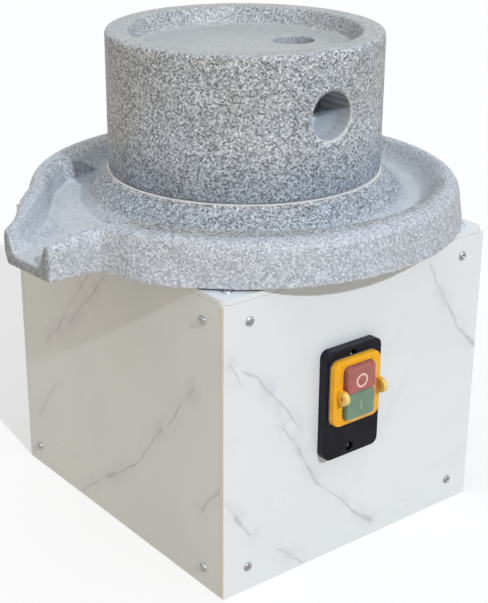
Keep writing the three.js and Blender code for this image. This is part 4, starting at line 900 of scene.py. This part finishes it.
def cross_head(radius, height, shank, length):
    """A pan head with a cross recess and a short length of its shank, seated at z = 0."""
    profile = [(0, -length), (shank, -length), (shank, 0)]
    profile += [(radius - RIM_EASE, RIM_LIFT), (radius, HEAD_RIM)]
    for step in range(1, CROWN_STEPS + 1):
        turn = step / CROWN_STEPS * math.pi / 2
        across = radius * (1 - CROWN_SHARE) + radius * CROWN_SHARE * math.cos(turn)
        profile.append((across, HEAD_RIM + (height - HEAD_RIM) * math.sin(turn)))
    profile.append((0, height + CROWN_RISE))
    head = new_piece("head", turned(profile))
    width, reach, depth = radius * RECESS_WIDTH, radius * RECESS_REACH, height * RECESS_DEPTH
    cutter = new_piece("cutter", cross_cutter(width, reach, depth, height))
    cut = head.modifiers.new("recess", "BOOLEAN")
    cut.object, cut.operation, cut.solver, cut.use_self = cutter, "DIFFERENCE", "EXACT", True
    settle(head)
    bevelled(head, 0.08, segments=2, angle=35)
    mesh = head.data
    smooth(mesh, 35)
    for spare in (head, cutter):
        bpy.data.objects.remove(spare)
    return mesh


def screw(name, mesh, spot, outward, material=finish["zinc"]):
    """Seats a screw at a spot in millimetres, facing outward, turned at random."""
    piece = new_piece(name, mesh)
    aim = Vector(outward).to_track_quat("Z", "Y").to_matrix().to_4x4()
    turn = Matrix.Rotation(random.uniform(0, math.pi), 4, "Z")
    piece.matrix_world = Matrix.Translation(Vector(spot) * MM) @ aim @ turn
    return dress(piece, material, "base")


# The marks' roundings, steps and sections

MARK_ROUND = 0.12
RING_STEPS = 40
BAR_STEPS = 8
BAR_SECTIONS = ((1, 1, 0), (1, 1, 0.6), (0.85, 0.985, 1))


def ring(name, centre, outer, inner, depth):
    """A flat ring standing in the XZ plane with rounded arrises, its back at the centre's y."""
    work = bmesh.new()
    edge = min(MARK_ROUND, depth / 2)
    outside = [(outer, 0), (outer, depth - edge), (outer - edge, depth)]
    inside = [(inner + edge, depth), (inner, depth - edge), (inner, 0)]
    loops = []
    for i in range(RING_STEPS):
        t = 2 * math.pi * i / RING_STEPS
        spots = (Vector((r * math.cos(t), -d, r * math.sin(t))) for r, d in outside + inside)
        loops.append([work.verts.new(centre + spot * MM) for spot in spots])
    for low, high in zip(loops, loops[1:] + loops[:1]):
        joined(work, low, high)
    mesh = finished(work, name)
    smooth(mesh)
    return new_piece(name, mesh)


def bar(name, centre, width, height, depth):
    """A flat bar with round ends standing in the XZ plane, its back at the centre's y. Its
    sections are shares of its width and height, and depths over its back."""
    work = bmesh.new()
    radius = width / 2
    straight = height / 2 - radius
    outline = []
    for end in (1, -1):
        for step in range(BAR_STEPS + 1):
            t = math.pi * step / BAR_STEPS
            outline.append((end * radius * math.cos(t), end * (straight + radius * math.sin(t))))
    loops = []
    for wide, tall, rise in BAR_SECTIONS:
        spots = (Vector((x * wide, -rise * depth, z * tall)) for x, z in outline)
        loops.append([work.verts.new(centre + spot * MM) for spot in spots])
    for low, high in zip(loops, loops[1:]):
        joined(work, low, high)
    work.faces.new(loops[0][::-1])
    work.faces.new(loops[-1])
    mesh = finished(work, name)
    smooth(mesh)
    return new_piece(name, mesh)


# The mill

carved(
    "lower_stone",
    "bedstone",
    granite("bedstone_granite", bedstone_wear_and_painted_light),
    seed=0.0,
    softness=bedstone_softness,
    sweep=bedstone_sweep,
)
carved(
    "runner_stone",
    "runner",
    granite("runner_granite", runner_wear_and_painted_light, gain=1.05),
    seed=5.0,
    softness=runner_softness,
)

# Each board's node, name, axes across, up and through, outer side, veins, banding and edge

for node, name, axes, side, veins, banded, edge in (
    ("front_panel", "front", (X, Z, Y), LOW, FRONT_VEINS, False, 0.3),
    ("left_panel", "left", (Y, Z, X), LOW, LEFT_VEINS, False, 0.3),
    ("right_panel", "right", (Y, Z, X), HIGH, LEFT_VEINS[3:], False, 0.3),
    ("back_panel", "back", (X, Z, Y), HIGH, FRONT_VEINS[1:3], True, 0.3),
    ("lid_panel", "lid", (X, Y, Z), HIGH, (), True, 0.5),
):
    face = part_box(node)[side][axes[2]]
    refined(node, f"{name}_board", marble(f"{name}_marble", axes, face, veins, banded), edge)

for node, name, edge in (
    ("switch_plate", "switch_base", 0.6),
    ("switch_bezel", "switch_frame", 0.7),
    ("stop_button", "stop_key", 0.4),
    ("start_button", "start_key", 0.4),
    ("switch_boot", "boot", 0.5),
    ("cable_gland", "gland_body", 0.3),
):
    refined(node, name, finish[slot_of[node]], edge)

# Screws, at the holes in the boards

FRONT_AND_BACK = [(x, z) for x in (-123.5, 123.5) for z in (23.5, 255)]
LEFT_AND_RIGHT = [(y, z) for y in (-135.5, 143.5) for z in (19, 253)]
LID = [(x, y) for x in (-135, 135) for y in (-148.5, 148.5)]
SEAT = 0.05
SWITCH_HEAD_HEIGHT = 1.9

random.seed(11)
PANEL_HEAD = cross_head(radius=4.3, height=2.0, shank=1.9, length=6)
SWITCH_HEAD = cross_head(radius=3.9, height=SWITCH_HEAD_HEIGHT, shank=1.8, length=1)
front = corners("front_panel")[LOW]
top = corners("lid_panel")[HIGH].z
for i, (x, z) in enumerate(FRONT_AND_BACK, 1):
    screw(f"front_screw_{i}", PANEL_HEAD, (x, front.y - SEAT, z), (0, -1, 0))
    screw(f"back_screw_{i}", PANEL_HEAD, (x, SEAT - front.y, z), (0, 1, 0))
for i, (y, z) in enumerate(LEFT_AND_RIGHT, 1):
    screw(f"left_screw_{i}", PANEL_HEAD, (front.x - SEAT, y, z), (-1, 0, 0))
    screw(f"right_screw_{i}", PANEL_HEAD, (SEAT - front.x, y, z), (1, 0, 0))
for i, (x, y) in enumerate(LID, 1):
    screw(f"lid_screw_{i}", PANEL_HEAD, (x, y, top + SEAT), (0, 0, 1))
for node in ("switch_screw_top", "switch_screw_bottom"):
    low, high = corners(node)
    spot = ((low.x + high.x) / 2, low.y + SWITCH_HEAD_HEIGHT, (low.z + high.z) / 2)
    head = screw(node + "_head", SWITCH_HEAD, spot, (0, -1, 0), dark_zinc)
    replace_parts(head, node)

# Marks on the buttons, in millimetres

MARK_SUNK, MARK_DEPTH, OFF_MARK_DROP = 0.02, 0.25, 1.5


def button_middle(node, drop=0.0):
    """The middle of a button's face, in metres, sunk so far that a mark there stays attached."""
    low, high = corners(node)
    return Vector(((low.x + high.x) / 2, low.y + MARK_SUNK, (low.z + high.z) / 2 - drop)) * MM


off_middle = button_middle("stop_button", OFF_MARK_DROP)
off_mark = ring("off_mark", off_middle, outer=6.6, inner=4.6, depth=MARK_DEPTH)
dress(off_mark, pale_pink, "stop_button")
on_middle = button_middle("start_button")
on_mark = bar("on_mark", on_middle, width=1.6, height=9, depth=MARK_DEPTH)
dress(on_mark, pale_green, "start_button")

# The nodes that are shown as they are

for node, thing in nodes.items():
    if not thing.hide_render:
        for place in thing.material_slots:
            place.material = finish[slot_of[node]]

# Floor

WHITE = (1, 1, 1, 1)
FLOOR_RADIUS = 14000
FLOOR_DROP = 0.2
FLOOR_BOUNCE = (0.7, 0.64, 0.55)
FLOOR_TONES = ((0.6, 0.603, 0.606), (0.615, 0.617, 0.62))
FLOOR_LIFT = 0.4


def floor_material():
    """White to the camera but for the shadows, and a little warm in the light it throws back."""
    g = Graph("pale_floor")
    seen = g.add("ShaderNodeLightPath", out="Is Camera Ray")
    tone = g.mix(seen, FLOOR_BOUNCE, g.mix(g.noise(400, 3), *FLOOR_TONES))
    g.set(Base_Color=tone, Roughness=0.9, Specular_IOR_Level=0.1)
    lift = g.add("ShaderNodeEmission", {"Color": WHITE, "Strength": g.times(seen, FLOOR_LIFT)})
    both = g.add("ShaderNodeAddShader", {0: g.shader.outputs[0], 1: lift})
    g.tree.links.new(both, g.surface)
    return g.material


floor = new_piece("floor", turned([(0, 0), (FLOOR_RADIUS, 0)], steps=96))
floor.data.materials.append(floor_material())
floor.location.z = -FLOOR_DROP * MM

# Sky

HORIZON, ZENITH, STEEPNESS = 0.15, 1.05, 2.0
COOL_LIGHT, WARM_LIGHT = (0.97, 1.0, 1.04, 1), (2.4, 1.8, 1.14, 1)
SPOUT_SIDE, LOW_SKY = (0.15, -0.75), (0.8, 0.1)


def studio_sky():
    """Pale overhead, warmer low on the spout's side, and plain white where it is seen."""
    world = bpy.data.worlds.new("studio")
    world.use_nodes = True
    sky = Nodes(world.node_tree)
    toward = sky.add("ShaderNodeTexCoord", out="Generated")
    split = sky.add("ShaderNodeSeparateXYZ", {0: toward}).node.outputs
    height = sky.math("MAXIMUM", split[Z], 0.0)
    strength = sky.blend(sky.math("POWER", height, STEEPNESS), HORIZON, ZENITH)
    warmth = sky.times(sky.between(split[X], *SPOUT_SIDE), sky.linear(height, *LOW_SKY))
    tints = {0: warmth, 6: COOL_LIGHT, 7: WARM_LIGHT}
    tint = sky.add("ShaderNodeMix", tints, out=2, data_type="RGBA")
    soft = sky.add("ShaderNodeBackground", {"Color": tint, "Strength": strength})
    white = sky.add("ShaderNodeBackground", {"Color": WHITE, "Strength": 1.0})
    rays = sky.add("ShaderNodeLightPath").node.outputs
    seen = sky.math("ADD", rays["Is Camera Ray"], rays["Is Glossy Ray"])
    seen = sky.math("ADD", seen, rays["Is Transmission Ray"], clamp=True)
    shown = sky.add("ShaderNodeMixShader", {0: seen, 1: soft, 2: white})
    sky.put(sky.tree.nodes.new("ShaderNodeOutputWorld").inputs["Surface"], shown)
    return world


bpy.context.scene.world = studio_sky()

# Key light

KEY_AZIMUTH = math.radians(-98)
KEY_ELEVATION = math.radians(35)
KEY_ANGLE = math.radians(2)
KEY_ENERGY = 1.84
KEY_COLOUR = (0.965, 0.985, 1.02)

sun = bpy.data.lights.new("key", "SUN")
sun.energy, sun.angle, sun.color = KEY_ENERGY, KEY_ANGLE, KEY_COLOUR
ground = Vector((math.cos(KEY_AZIMUTH), math.sin(KEY_AZIMUTH), 0)) * math.cos(KEY_ELEVATION)
key = new_piece("key", sun)
key.rotation_mode = "QUATERNION"
key.rotation_quaternion = (ground + Vector((0, 0, math.sin(KEY_ELEVATION)))).to_track_quat("Z", "Y")

# Camera, in metres, as fitted to the photograph

CAMERA_PLACE = Vector((-0.74112, -0.93212, 0.67732))
CAMERA_AIM = Vector((0.57592, 0.72369, -0.38024)).normalized()
CAMERA_ROLL = math.radians(0.39)
CAMERA_LENS, SENSOR = 79.85, 36.0

lens = bpy.data.cameras.new("camera")
lens.sensor_width, lens.sensor_fit, lens.lens = SENSOR, "AUTO", CAMERA_LENS
level = CAMERA_AIM.cross(Vector((0, 0, 1))).normalized()
upright = level.cross(CAMERA_AIM)
right = level * math.cos(CAMERA_ROLL) + upright * math.sin(CAMERA_ROLL)
up = upright * math.cos(CAMERA_ROLL) - level * math.sin(CAMERA_ROLL)
turn = Matrix((right, up, -CAMERA_AIM)).transposed().to_4x4()
camera = new_piece("camera", lens)
camera.matrix_world = Matrix.Translation(CAMERA_PLACE) @ turn
bpy.context.scene.camera = camera
bpy.context.scene.view_settings.view_transform = "Standard"
